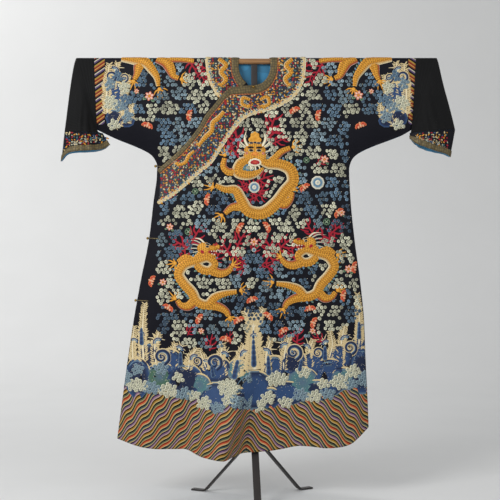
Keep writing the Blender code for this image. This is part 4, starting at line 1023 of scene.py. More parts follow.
def headings(path):
    """Unit directions along a path of (x, z) rows, by its own differences."""
    slope = np.gradient(path[:, :2], axis=0)
    return slope / np.maximum(np.linalg.norm(slope, axis=1, keepdims=True), 1e-9)


def spline(rows, step):
    """A smooth path through (x, z, width) rows: cubic Hermite pieces with mean slopes, evenly spaced."""
    rows = np.asarray(rows, float)
    length = distances(rows)
    slope = np.gradient(rows, length, axis=0) if len(rows) > 2 else np.repeat(
        (rows[1:] - rows[:1]) / length[-1], 2, axis=0)
    at = np.linspace(0, length[-1], max(3, int(length[-1] / step) + 2))
    k = np.clip(np.searchsorted(length, at, side="right") - 1, 0, len(rows) - 2)
    gap = (length[k + 1] - length[k])[:, None]
    t = ((at - length[k]) / gap[:, 0])[:, None]
    return ((1 + 2 * t) * (1 - t) ** 2 * rows[k] + t * t * (3 - 2 * t) * rows[k + 1]
            + gap * (t * (1 - t) ** 2 * slope[k] + t * t * (t - 1) * slope[k + 1]))


def ribbon(work, rows, colours, height=1.0, step=0.005, over=0.0, fringe=0.0):
    """Couched thread along a path: a half-round profile of seven points carried at right angles to it.

    The width follows the rows. Colours run from the left edge to the right. Over adds a rise along
    the path so that a coil passes over itself, and fringe scallops the left edge.
    """
    path = spline(rows, step)
    slope = headings(path)
    place = np.array([1.0, 0.85, 0.45, 0.0, -0.45, -0.85, -1.0])
    half = np.maximum(path[:, 2:3] / 2, 0.0004)
    along = distances(path)
    edge = np.ones_like(half) * place
    edge[:, :1] *= 1 + fringe * np.abs(np.sin(along * math.pi / 0.012))[:, None]
    x = path[:, :1] - slope[:, 1:2] * half * edge
    z = path[:, 1:2] + slope[:, :1] * half * edge
    dome = np.sqrt(np.maximum(1 - place ** 2, 0)) * np.minimum(half / FULL_RELIEF_RADIUS, 1)
    level = np.linspace(0, 1, len(path))[:, None]
    rim = np.abs(place) > 0.99
    high = RELIEF * (height * dome + over * level) - SINK * rim
    if over:
        high = high - RELIEF * over * level * rim
    shades = np.broadcast_to(colours, (len(path), 7, 4))
    uv = np.stack(np.broadcast_arrays(along[:, None], half * place), axis=-1)
    work.add(x, z, high, [grid_faces(len(path), 7)[:, ::-1]], shades, uv)
    return path


def shades(*names, metal=0.0):
    """A row of thread colours, one per ring or column."""
    return np.stack([thread(name, metal) for name in names])


def inside_curve(x, z, curve):
    """Whether points lie within a closed curve, by counting its crossings of a level line on one side."""
    after = np.roll(curve, -1, axis=0)
    below = curve[:, 1] > z[:, None]
    crosses = below != (after[:, 1] > z[:, None])
    rise = np.where(after[:, 1] == curve[:, 1], 1e-9, after[:, 1] - curve[:, 1])
    place = curve[:, 0] + (z[:, None] - curve[:, 1]) * (after[:, 0] - curve[:, 0]) / rise
    return (crosses & (x[:, None] < place)).sum(axis=1) % 2 == 1


def open_ground(face, x, z):
    """Where the satin is embroidered with clouds: off the trims, the plain side strips and the gussets."""
    left = np.where(z < LEFT_GUSSET["top_z"], LEFT_GUSSET["x"], -GROUND_END_X)
    left = np.maximum(side_x(-1, z) + LEFT_STRIP, left)
    by_gusset = (z < RIGHT_GUSSET["top_z"]) & (z > RIGHT_GUSSET["foot_z"])
    right = np.where(by_gusset, RIGHT_GUSSET["x"], GROUND_END_X)
    right = np.minimum(side_x(1, z) - RIGHT_STRIP, right)
    free = (x > left) & (x < right) & (z < GROUND_TOP_Z)
    if face > 0:
        back_z = BAR_AXIS_Z + SHOULDER_ARC - np.asarray(BACK_TRIM["face_v"])
        across = smooth_line(BACK_TRIM["face_x"], back_z, x)
        return free & ~((x > -0.185) & (x < 0.178) & (z > across - 0.006))
    for trim, top in ((FRONT_TRIM, 0.049), (UNDER_TRIM, -0.063)):
        edge = np.column_stack([trim["edge_x"], trim["edge_z"]])
        face_line = np.column_stack([trim["face_x"], trim["face_z"]])
        lid = [[trim["face_x"][0], 1.60], [top, 1.60]]
        free &= ~inside_curve(x, z, np.concatenate([edge, face_line[::-1], lid]))
    neck = np.abs(x - NECK_CENTRE_X) < NECK_HALF_WIDTH + 0.03
    return free & ~(neck & (z > NECK_ROUND_Z - NECK_DROP - 0.01))


def taken_ground():
    """Circles over the motifs that clouds keep clear of, as rows of place and radius in mm."""
    rows = [(x, z, BAT_REACH) for x, z, _ in BATS]
    rows += [(x, z, size * 0.6) for x, z, size in FLOWERS + ROUNDELS + PEARLS]
    rows += [(x, z, size * 0.26) for x, z, size, _ in FLAMES] + HEAD_CIRCLES
    for name, line in DRAGON_LINES.items():
        if name.startswith("collar"):
            continue
        drop = PAIRED_DROPS.get(name.split("_")[0], 0)
        for x, z, width in spline(line, 10):
            rows.append((x, z, width * 0.56))
            if not name.startswith("great"):
                rows.append((-x, z - drop, width * 0.56))
    return np.array(rows)


def cloud_field(work, face):
    """Cloud scrolls over the whole ground: curled lobes in clumps of one colour, dark between the clumps.

    Lobes and clumps both stand on seeded jittered grids of staggered rows. A lobe joins its nearest
    clump, is left out where a second clump is almost as near, and takes the colour named for that place.
    """
    rng = np.random.default_rng(23)

    def scattered(pitch, shake):
        column, row = np.meshgrid(np.arange(-560, 561, pitch), np.arange(395, 1535, pitch * 0.866))
        column = column + (np.arange(len(row)) % 2)[:, None] * pitch / 2
        spots = np.column_stack([column.ravel(), row.ravel()])
        return spots + rng.uniform(-shake, shake, spots.shape)

    spots = scattered(LOBE_PITCH, LOBE_SHAKE)
    keep = open_ground(face, spots[:, 0] / 1000, spots[:, 1] / 1000)
    spots = spots[keep & (spots[:, 1] > wave_top(spots[:, 0]))]
    taken = taken_ground()
    gaps = np.hypot(spots[:, :1] - taken[:, 0], spots[:, 1:] - taken[:, 1]) - taken[:, 2]
    spots = spots[gaps.min(axis=1) > LOBE_ROOM]
    clumps = scattered(CLUMP_PITCH, CLUMP_SHAKE)
    away = np.hypot(spots[:, :1] - clumps[:, 0], (spots[:, 1:] - clumps[:, 1]) * 1.25)
    order = np.sort(away, axis=1)
    chosen = order[:, 1] - order[:, 0] > CLUMP_ROOM
    spots, clump = spots[chosen], np.argmin(away, axis=1)[chosen]
    named = np.array([(x, z) for x, z, _ in CLOUDS])
    kinds = np.argmin(np.hypot(clumps[:, :1] - named[:, 0], clumps[:, 1:] - named[:, 1]), axis=1)
    sets = np.stack([shades(*CLOUD_COLOURS[name]) for _, _, name in CLOUDS])
    tint = rng.uniform(0.75, 1.25, (len(clumps), 1, 1))[clump] * rng.uniform(0.55, 1.2, (len(spots), 1, 1))
    colours = sets[kinds[clump]] * tint
    colours[..., 3] = 0.0
    lobes(work, spots[:, 0] / 1000, spots[:, 1] / 1000, rng.uniform(0.0055, 0.0070, len(spots)), colours,
          aspect=rng.uniform(1.0, 1.2, len(spots)), turn=rng.uniform(0, 6.28, len(spots)), curl=1.0)
    knots = spots[rng.uniform(0, 1, len(spots)) < 0.3] + (7.0, 4.0)
    lobes(work, knots[:, 0] / 1000, knots[:, 1] / 1000, 0.0013, shades(*["ivory"] * 4), height=5.0, sectors=6)


def facing_field(work, inner, outer, lines):
    """Small bright stitches all over a facing or a cuff, between its two edges and off its dragons."""
    rng = np.random.default_rng(31)
    curve = np.concatenate([inner, outer[::-1]]) * 1000
    low, high = curve.min(axis=0), curve.max(axis=0)
    column, row = np.meshgrid(np.arange(low[0], high[0], FACING_PITCH_X),
                              np.arange(low[1], high[1], FACING_PITCH_Z))
    spots = np.column_stack([column.ravel(), row.ravel()])
    spots += rng.uniform(-FACING_SHAKE, FACING_SHAKE, spots.shape)
    spots = spots[inside_curve(spots[:, 0], spots[:, 1], curve)]
    path = np.concatenate([spline(line, 8) for line in lines])
    gap = np.hypot(spots[:, :1] - path[:, 0], spots[:, 1:] - path[:, 1]) - path[:, 2] * 0.5
    spots = spots[gap.min(axis=1) > FACING_ROOM]
    sets = np.stack([shades(*names) for names in FACING_SETS])
    lobes(work, spots[:, 0] / 1000, spots[:, 1] / 1000, rng.uniform(0.0022, 0.0036, len(spots)),
          sets[rng.integers(0, len(sets), len(spots))], aspect=rng.uniform(1.2, 2.4, len(spots)),
          turn=rng.uniform(0, 6.28, len(spots)), height=1.4, sectors=6)


def wave_top(x):
    """Height of the upper edge of the wave zone, in mm, where the clouds stop."""
    return smooth_line([-500, -395, -330, -200, -60, -10, 50, 160, 300, 350, 400],
                       [660, 640, 575, 520, 545, 600, 550, 560, 590, 620, 700], x)


def flames(work, rows):
    """Branching flames: crimson strokes from a stem, each bent aside, from a table in shares of the size."""
    for x, z, size, turn in rows:
        size, turn = size * 1.7 / 1000, math.radians(turn)
        cosine, sine = math.cos(turn), math.sin(turn)
        for sx, sy, bx, by, ex, ey in FLAME_STROKES:
            local = np.array([(sx, sy, 0.085), (bx, by, 0.09), (ex, ey, 0.04)]) * size
            path = np.column_stack([x / 1000 + local[:, 0] * cosine - local[:, 1] * sine,
                                    z / 1000 + local[:, 0] * sine + local[:, 1] * cosine, local[:, 2]])
            ribbon(work, path, shades(*FLAME_COLOURS), height=0.7, step=0.006)


def bats(work, rows):
    """Bats: a small body between two scalloped wings, each wing three lobes side by side."""
    across, up, radius, aspect, lean, kinds = BAT_LOBES.T
    colours = np.stack([shades(*BAT_COLOURS[int(kind)]) for kind in kinds])
    for x, z, turn in rows:
        turn = math.radians(turn)
        cosine, sine = math.cos(turn), math.sin(turn)
        lx = x / 1000 + (across * cosine - up * sine) * BAT_SCALE
        lz = z / 1000 + (across * sine + up * cosine) * BAT_SCALE
        lobes(work, lx, lz, radius * BAT_SCALE, colours, aspect=aspect, turn=turn + np.radians(lean))


def flowers(work, rows):
    """Flowers: six pointed petals round a gold centre, with two green leaves."""
    for x, z, size in rows:
        x, z, size = x / 1000, z / 1000, size / 2000
        angle = np.arange(6) * math.pi / 3 + 0.3
        leaf = np.array([-0.9, 3.6])
        lobes(work, *around(x, z, 1.05 * size, leaf), size * 0.36,
              shades("green", "green", "pale_green", "green"), aspect=1.7, turn=leaf, height=0.6)
        lobes(work, *around(x, z, 0.56 * size, angle), size * 0.34,
              shades("ivory", "rose", "coral", "ivory"), aspect=1.35, turn=angle, point=0.2)
        lobes(work, x, z, size * 0.28, shades("pale_gold", "gold", "gold", "dark_gold"), height=1.4)


def roundels(work, rows):
    """Plain round lattices in green: a rim of small beads round two crossed bars."""
    for x, z, size in rows:
        x, z, size = x / 1000, z / 1000, size / 2000
        angle = np.arange(12) * math.pi / 6
        lobes(work, *around(x, z, 0.86 * size, angle), size * 0.24,
              shades("pale_green", "green", "green", "black"))
        for turn in (0.785, 2.356):
            dx, dz = 0.6 * size * math.cos(turn), 0.6 * size * math.sin(turn)
            ribbon(work, [(x - dx, z - dz, size * 0.3), (x + dx, z + dz, size * 0.3)],
                   shades("green", "green", "pale_green", "pale_green", "pale_green", "green", "green"),
                   height=0.6)


def pearls(work, rows):
    """Pearls: a flat disc ringed in white, sky blue and royal blue, with a pale heart."""
    for x, z, size in rows:
        lobes(work, x / 1000, z / 1000, size / 2000, shades("royal", "sky", "ivory", "royal"), height=1.2)
        lobes(work, x / 1000, z / 1000, size / 4200, shades("pale_blue", "ivory", "pale_blue", "sky"),
              height=2.0)


def claws(work, rows):
    """Claws: five thin gold talons fanned from a pad, each bent back towards the middle one."""
    for x, z, turn, size, _ in rows:
        x, z, size = x / 1000, z / 1000, size * 1.5 / 1000
        for spread in (-80, -40, 0, 40, 80):
            angle = math.radians(turn + spread)
            dx, dz = math.cos(angle), math.sin(angle)
            bend = math.radians(turn + spread * 0.3)
            ribbon(work, [(x, z, size * 0.20), (x + dx * size * 0.5, z + dz * size * 0.5, size * 0.17),
                          (x + dx * size * 0.7 + math.cos(bend) * size * 0.35,
                           z + dz * size * 0.7 + math.sin(bend) * size * 0.35, size * 0.05)],
                   shades("dark_gold", "gold", "pale_gold", "pale_gold", "gold", "gold", "red"),
                   height=0.9, step=0.005)
        lobes(work, x, z, size * 0.24, shades("pale_gold", "pale_gold", "gold", "dark_gold"), height=1.5)


def dragon_body(work, rows, over, spines=True, mirror=1.0, drop=0.0):
    """A scaled body or limb: a couched gold ribbon with a pale belly edge and blue spines along its back."""
    rows = np.asarray(rows, float) * np.array([mirror, 1.0, 1.0]) / 1000
    rows[:, 1] -= drop
    if not spines:
        rows[:, 2] *= 1.3
    names = ["dark_gold", "pale_gold", "gold", "pale_gold", "gold", "foam" if spines else "red", "ivory"]
    colours = np.stack([thread(name, 0.6 if "gold" in name else 0.0) for name in names])
    if mirror < 0:
        colours = colours[::-1]
    path = spline(rows, 0.011)
    if spines:
        slope = headings(path)
        side = np.column_stack([-slope[:, 1], slope[:, 0]]) * mirror
        turn = np.arctan2(side[:, 1] - slope[:, 1] * 0.5, side[:, 0] - slope[:, 0] * 0.5)
        away = path[:, :2] + side * (path[:, 2:3] / 2 + 0.0012)
        first = np.arange(len(away)) % 2 == 0
        for chosen, tints in ((first, ("royal", "sky", "pale_blue", "navy")),
                              (~first, ("green", "teal", "pale_green", "navy"))):
            lobes(work, away[chosen, 0], away[chosen, 1], np.minimum(path[chosen, 2] * 0.11, 0.0036),
                  shades(*tints), aspect=1.7, turn=turn[chosen], point=0.35)
    ribbon(work, rows, colours, height=1.5, over=over)


def whiskers(work, x, z, scale, rows, colours, height=0.9):
    """Tapering strands from a table of (start x, start z, bend x, bend z, end x, end z, width), in shares."""
    for sx, sz, bx, bz, ex, ez, width in rows:
        width = width * 0.75
        path = [(x + sx * scale, z + sz * scale, width * scale),
                (x + bx * scale, z + bz * scale, width * scale * 0.9),
                (x + ex * scale, z + ez * scale, width * scale * 0.1)]
        ribbon(work, path, shades(*colours), height=height, step=0.004)


def front_head(work, x, z, scale):
    """A dragon's face from the front: mane, horns, brow, eyes, nose, open mouth and beard, from tables."""
    x, z, scale = x / 1000, z / 1000, scale / 1000
    whiskers(work, x, z, scale, MANE, MANE_COLOURS, height=0.4)
    whiskers(work, x, z, scale, HORNS, HORN_COLOURS, height=1.4)
    for name, rows in FACE_LOBES.items():
        rows = np.asarray(rows)
        metal = 0.6 if name in ("skull", "cheek") else 0.0
        lobes(work, x + rows[:, 0] * scale, z + rows[:, 1] * scale, rows[:, 2] * scale,
              shades(*FACE_COLOURS[name], metal=metal), aspect=rows[:, 3], height=rows[:, 4])
    whiskers(work, x, z, scale, BEARD, HORN_COLOURS, height=1.6)


def side_head(work, x, z, scale, mirror=1.0):
    """A dragon's head from the side, facing left, or right when mirrored, from the same kind of tables."""
    x, z, scale = x / 1000, z / 1000, scale / 1000
    flip = np.array([mirror, 1, mirror, 1, mirror, 1, 1])
    whiskers(work, x, z, scale, np.asarray(SIDE_MANE) * flip, MANE_COLOURS)
    whiskers(work, x, z, scale, np.asarray(SIDE_HORNS) * flip, HORN_COLOURS, height=1.4)
    for name, rows in SIDE_LOBES.items():
        rows = np.asarray(rows)
        metal = 0.6 if name in ("skull", "snout", "jaw") else 0.0
        lobes(work, x + rows[:, 0] * scale * mirror, z + rows[:, 1] * scale, rows[:, 2] * scale,
              shades(*SIDE_COLOURS[name], metal=metal), aspect=rows[:, 3],
              turn=np.radians(rows[:, 4]) * mirror, height=rows[:, 5])


def mounds(work, rows):
    """Dark rounded rocks: a low dome of floss under nested arcs of blue and foam, with white knots."""
    for x, z, width, height, tint in rows:
        x, z, width, height = x / 1000, z / 1000, width / 2000, height / 2000
        lobes(work, x, z, height, shades(*MOUND_COLOURS[tint]), aspect=width / height, height=0.55)
        rng = np.random.default_rng(abs(int(x * 9000 + z * 700)))
        count = int(width * height * 12000)
        angle, reach = rng.uniform(0, 6.28, count), np.sqrt(rng.uniform(0, 0.62, count))
        knots = np.column_stack([x + width * reach * np.cos(angle), z + height * reach * np.sin(angle)])
        lobes(work, knots[:, 0], knots[:, 1], 0.0012, shades("ivory", "ivory", "pale_sage", "pale_sage"),
              height=4.5, sectors=6)
        for share, thick, tone in ((0.62, 0.0030, "slate"), (0.80, 0.0036, "blue_grey"),
                                   (0.97, 0.0050, "foam")):
            arc = np.linspace(0.3, math.pi - 0.3, 9) + (0.8 - share)
            ribbon(work, np.column_stack([x + width * share * np.cos(arc), z + height * share * np.sin(arc),
                                          thick * np.array([1, 2, 3, 4, 5, 4, 3, 2, 1]) / 3.2]),
                   shades(*[tone] * 7), height=1.1, step=0.008)


def clumps(work, rows):
    """Swirled clumps of foam cloud: curled lobes packed in a spiral of equal steps."""
    for x, z, width, height, tint in rows:
        count = max(7, int(width * height / 190))
        step = np.arange(count)
        angle, reach = step * 2.39996, np.sqrt((step + 0.3) / count) * 0.46
        colours = shades(*CLOUD_COLOURS[tint])
        across, up = width * reach * np.cos(angle), height * reach * np.sin(angle)
        lobes(work, (x + across) / 1000, (z + up) / 1000, 0.0076, colours, turn=angle,
              height=1.9 - 0.6 * reach, curl=1.0)


def whirls(work, rows):
    """Curling wave crests: a blue ribbon wound a turn and a half inwards, over a pale one that edges it."""
    for x, z, radius, hand in rows:
        share = np.linspace(0, 1, 12)
        angle = math.pi * 1.5 - hand * (0.3 + share * 3.0 * math.pi)
        reach = radius * (1.0 - 0.86 * share)
        px = (x + reach * np.cos(angle) * hand * -1) / 1000
        pz = (z + reach * np.sin(angle)) / 1000
        width = radius / 1000 * (0.62 - 0.34 * share)
        ribbon(work, np.column_stack([px, pz, width * 1.35]), shades(*["foam"] * 7), height=0.8, step=0.006)
        ribbon(work, np.column_stack([px, pz, width * 0.9]), shades(*WHIRL_COLOURS), height=1.5, step=0.006)


def plumes(work, rows, spiky=True):
    """Foam jets: a cream ribbon up a path, feathered with seeded pointed strokes that lean off both edges."""
    rng = np.random.default_rng(5)
    for line in rows:
        line = np.asarray(line, float) / 1000 * (1.0, 1.0, 0.85 if spiky else 1.0)
        ribbon(work, line, shades(*PLUME_COLOURS), height=0.5, step=0.008)
        path = spline(line, 0.0070)
        slope = headings(path)
        for side in (-1, 1) if spiky else ():
            away = np.column_stack([-slope[:, 1], slope[:, 0]]) * side
            reach = rng.uniform(0.8, 1.2, len(path)) * np.clip(0.0022 + 0.14 * path[:, 2], 0.0028, 0.0048)
            foot = path[:, :2] + away * (path[:, 2:] / 2 + 1.1 * reach[:, None])
            lean = rng.uniform(0.3, 1.3, len(path))[:, None]
            turn = np.arctan2(away[:, 1:] + slope[:, 1:] * lean, away[:, :1] + slope[:, :1] * lean)[:, 0]
            lobes(work, foot[:, 0], foot[:, 1], reach,
                  shades("foam", "foam", "foam", "cream"), aspect=rng.uniform(2.4, 3.4, len(path)), turn=turn,
                  point=0.3, height=1.0, sectors=6)


def sprays(work, rows):
    """Splashes: curved foam strokes fanned from a foot over a blue arc, the middle ones longest."""
    for x, z, size, turn in rows:
        strokes = []
        for k, spread in enumerate((-80, -54, -27, 0, 27, 54, 80)):
            angle = math.radians(turn + spread * 1.2)
            reach = size * (1.0 - abs(spread) / 170) * (0.8 if k % 2 else 1.0)
            bend = math.radians(turn + spread * 0.5)
            strokes.append([(x, z, size * 0.11), (*around(x, z, 0.5 * reach, bend), size * 0.10),
                            (*around(x, z, reach, angle), size * 0.04)])
        plumes(work, strokes, spiky=False)
        arc = np.radians(turn) + np.linspace(-1.3, 1.3, 7)
        for reach, names in ((0.34, ["royal"] * 7), (0.22, ["sky"] * 7)):
            path = np.column_stack([*around(x, z, reach * size, arc), np.full(7, 0.11 * size)]) / 1000
            ribbon(work, path, shades(*names), height=2.0, step=0.006)


def nested_peaks(work, rows):
    """Blue peaks one above the other: pointed domes, dark at the foot and pale at the rim, along a line."""
    for x, z, size, turn, count in rows:
        step = np.arange(count)
        angle = math.radians(turn)
        along = step * size * 1.5
        lobes(work, (x + along * math.cos(angle)) / 1000, (z + along * math.sin(angle)) / 1000,
              size / 1000 * (1 - 0.12 * step), shades("navy", "royal", "blue_grey", "foam"),
              aspect=1.7, turn=angle, point=0.3, height=2.6)


def satin_silk(looks):
    """Blue-black silk satin, woven with long floats.

    The eye gets a deep ground with painted sheen along the floats: streaks of stretched noise paint its
    colour lighter and darker, partly the floats' own uneven tone. Towards the hem it carries the
    slanted bands of the standing water, and at the sleeve ends an upright row of short stripes,
    both worked in floss. The real thread spacing of 0.3 mm is drawn at 1.1 mm so that it shows.
    """
    material, shader, node = start_material("satin_silk", Roughness=0.5, Specular_IOR_Level=0.1,
                                            Sheen_Weight=0.01, Sheen_Roughness=0.4, Anisotropic=0.5)
    uv = node("UVMap", uv_map="cloth")
    place = node("TexCoord").outputs["Object"]
    split = node("SeparateXYZ", {"Vector": uv})
    u, v = split.outputs["X"], split.outputs["Y"]
    away = node("Math", {0: u}, operation="ABSOLUTE")
    slant = node("Math", {0: away, 1: -looks.stripe_slope, 2: v}, operation="MULTIPLY_ADD")
    sway = node("Math", {0: away, 1: 2 * math.pi / WATER_WAVE_REPEAT}, operation="MULTIPLY")
    sway = node("Math", {0: sway}, operation="SINE")
    swayed = node("Math", {0: sway, 1: WATER_WAVE_HEIGHT, 2: slant}, operation="MULTIPLY_ADD")
    turns = node("Math", {0: swayed, 1: looks.stripe_period}, operation="DIVIDE")
    share = node("Math", {0: turns}, operation="FRACT")
    water = node("ValToRGB", {"Fac": share}, stops=WATER_STOPS)
    water.color_ramp.interpolation = "CONSTANT"
    bands = node("Math", {0: share, 1: 2 * math.pi * THREAD_ROWS}, operation="MULTIPLY")
    ridge = node("Math", {0: bands}, operation="SINE")
    start = node("Math", {0: away, 1: 2 * math.pi / WATER_START_REPEAT}, operation="MULTIPLY")
    start = node("Math", {0: start}, operation="COSINE")
    start = node("Math", {0: start, 1: -WATER_START_HEIGHT, 2: WATER_TOP_V}, operation="MULTIPLY_ADD")
    below = node("Math", {0: v, 1: start}, operation="GREATER_THAN")
    spot = node("SeparateXYZ", {"Vector": place})
    out = node("Math", {0: spot.outputs["X"]}, operation="ABSOLUTE")
    outer = node("Math", {0: out, 1: SLEEVE_STRIPE_FOOT}, operation="GREATER_THAN")
    high = node("Math", {0: spot.outputs["Z"], 1: SLEEVE_STRIPE_LOW_Z}, operation="GREATER_THAN")
    end = node("Math", {0: outer, 1: high}, operation="MULTIPLY")
    slip = node("Math", {0: out, 1: SLEEVE_STRIPE_SLOPE, 2: spot.outputs["Z"]}, operation="MULTIPLY_ADD")
    slip = node("Math", {0: slip, 1: SLEEVE_STRIPE_REPEAT}, operation="DIVIDE")
    slip = node("Math", {0: slip}, operation="FRACT")
    flags = node("ValToRGB", {"Fac": slip}, stops=SLEEVE_STOPS)
    flags.color_ramp.interpolation = "CONSTANT"
    cloud = node("TexNoise", {"Vector": uv, "Scale": 9.0, "Detail": 3.0})
    ground = node("Mix", {0: cloud.outputs["Fac"], 6: (*looks.ground, 1.0),
                          7: (*[c * 1.7 for c in looks.ground], 1.0)}, data_type="RGBA")
    # Painted sheen along the floats: stretched fibre noise paints the satin's colour lighter and darker in
    # streaks, partly the floats' own uneven tone.
    fibre = node("Mapping", {"Vector": uv, "Scale": (40.0, 900.0, 1.0)})
    fibre = node("TexNoise", {"Vector": fibre, "Scale": 1.0, "Detail": 2.0})
    streaks_and_sheen = node("MapRange", {"Value": fibre.outputs["Fac"], "To Min": 0.50, "To Max": 1.1})
    tint = node("Mix", {0: below, 6: ground, 7: water}, data_type="RGBA")
    tint = node("Mix", {0: end, 6: tint, 7: flags}, data_type="RGBA")
    tint = node("VectorMath", {0: tint, 1: streaks_and_sheen}, operation="MULTIPLY")
    ribs = node("Math", {0: ridge, 1: below}, operation="MULTIPLY")
    relief = node("Math", {0: fibre.outputs["Fac"], 1: 0.25, 2: ribs}, operation="MULTIPLY_ADD")
    bump = node("Bump", {"Strength": 0.5, "Distance": 0.0008, "Height": relief})
    set_inputs(shader, {"Base Color": tint, "Normal": bump})
    return material


def damask_lining(looks):
    """Blue silk damask: a satin ground with matt woven clouds 30 mm across, in the neck and hem."""
    material, shader, node = start_material("blue_silk_damask", Specular_IOR_Level=0.5, Sheen_Weight=0.25)
    uv = node("UVMap", uv_map="cloth")
    figure = node("TexVoronoi", {"Vector": uv, "Scale": 34.0}, feature="SMOOTH_F1")
    edge = node("Math", {0: figure.outputs["Distance"], 1: 0.42}, operation="LESS_THAN")
    tint = node("Mix", {0: edge, 6: (*looks.lining, 1.0), 7: (*[c * 1.35 for c in looks.lining], 1.0)},
                data_type="RGBA")
    gloss = node("MapRange", {"Value": edge, "To Min": 0.35, "To Max": 0.6})
    fibre = node("Mapping", {"Vector": uv, "Scale": (600.0, 60.0, 1.0)})
    fibre = node("TexNoise", {"Vector": fibre, "Scale": 1.0})
    bump = node("Bump", {"Strength": 0.3, "Distance": 0.0006, "Height": fibre.outputs["Fac"]})
    set_inputs(shader, {"Base Color": tint, "Roughness": gloss, "Normal": bump})
    return material


def ribbed_silk():
    """Plain black silk rep: fine ribs round the sleeve give a matt, slightly barred black.

    The real ribs are 1 mm apart and are drawn 6 mm apart so that they show.
    """
    material, shader, node = start_material("ribbed_silk_rep", Roughness=0.7, Specular_IOR_Level=0.12,
                                            Sheen_Weight=0.01)
    uv = node("UVMap", uv_map="cloth")
    ribs = node("TexWave", {"Vector": uv, "Scale": 52.0, "Distortion": 0.6, "Detail Scale": 2.0},
                bands_direction="Y")
    dust = node("TexNoise", {"Vector": uv, "Scale": 14.0, "Detail": 4.0})
    tint = node("Mix", {0: dust.outputs["Fac"], 6: "#0c0c0c", 7: "#19191a"}, data_type="RGBA")
    bump = node("Bump", {"Strength": 0.45, "Distance": 0.0010, "Height": ribs.outputs["Fac"]})
    set_inputs(shader, {"Base Color": tint, "Normal": bump})
    return material


def gold_brocade():
    """Olive-gold brocade ribbon: flat metal thread over a dark silk warp, with a small woven figure.

    The eye gets dull gold glints broken by a brown diaper. The figure repeats every 9 mm.
    """
    material, shader, node = start_material("olive_gold_brocade", Specular_IOR_Level=0.5)
    uv = node("UVMap", uv_map="cloth")
    figure = node("TexVoronoi", {"Vector": uv, "Scale": 110.0, "Randomness": 0.35})
    weave = node("TexWave", {"Vector": uv, "Scale": 170.0, "Distortion": 1.5}, bands_direction="DIAGONAL")
    mix = node("Math", {0: weave.outputs["Fac"], 1: 0.35, 2: figure.outputs["Distance"]},
               operation="MULTIPLY_ADD")
    tint = node("ValToRGB", {"Fac": mix}, stops=[(0.0, "#8f7c4c"), (0.35, "#76663e"), (0.62, "#564a2e"),
                                                 (1.0, "#38301f")])
    metal = node("MapRange", {"Value": mix, "To Min": 0.55, "To Max": 0.1})
    gloss = node("MapRange", {"Value": mix, "To Min": 0.42, "To Max": 0.6})
    bump = node("Bump", {"Strength": 0.5, "Distance": 0.0007, "Height": mix}, invert=True)
    set_inputs(shader, {"Base Color": tint, "Metallic": metal, "Roughness": gloss, "Normal": bump})
    return material


def cord_piping():
    """Orange-brown silk cord, twisted from two plies: a matt warm line with slanting furrows 10 mm apart."""
    material, shader, node = start_material("orange_silk_cord", Roughness=0.6, Sheen_Weight=0.2)
    uv = node("UVMap", uv_map="cloth")
    twist = node("TexWave", {"Vector": uv, "Scale": 60.0}, bands_direction="DIAGONAL")
    # Painted shade: the twist bands that bump the cord also paint it dark in its furrows and light on its
    # ridges.
    tint = node("Mix", {0: twist.outputs["Fac"], 6: "#7a3c1e", 7: "#c07238"}, data_type="RGBA")
    bump = node("Bump", {"Strength": 0.7, "Distance": 0.0008, "Height": twist.outputs["Fac"]})
    set_inputs(shader, {"Base Color": tint, "Normal": bump})
    return material


def facing_silk():
    """Black satin facing strewn with tiny stitched clouds: matt dots of floss, one to each 10 mm cell."""
    material, shader, node = start_material("embroidered_facing_silk", Roughness=0.5,
                                            Specular_IOR_Level=0.4, Sheen_Weight=0.15)
    uv = node("UVMap", uv_map="cloth")
    spots = node("TexVoronoi", {"Vector": uv, "Scale": 95.0})
    dots = node("Math", {0: spots.outputs["Distance"], 1: 0.34}, operation="LESS_THAN")
    pick = node("SeparateColor", {"Color": spots.outputs["Color"]})
    kinds = node("ValToRGB", {"Fac": pick.outputs["Red"]},
                 stops=[(0.0, "#1a1a20"), (0.34, "#c9bf9f"), (0.5, "#3f5f8f"), (0.64, "#a2452c"),
                        (0.76, "#b08a3e"), (0.88, "#5d7f6c")])
    kinds.color_ramp.interpolation = "CONSTANT"
    tint = node("Mix", {0: dots, 6: "#191920", 7: kinds}, data_type="RGBA")
    bump = node("Bump", {"Strength": 0.5, "Distance": 0.0006, "Height": dots})
    set_inputs(shader, {"Base Color": tint, "Normal": bump})
    return material


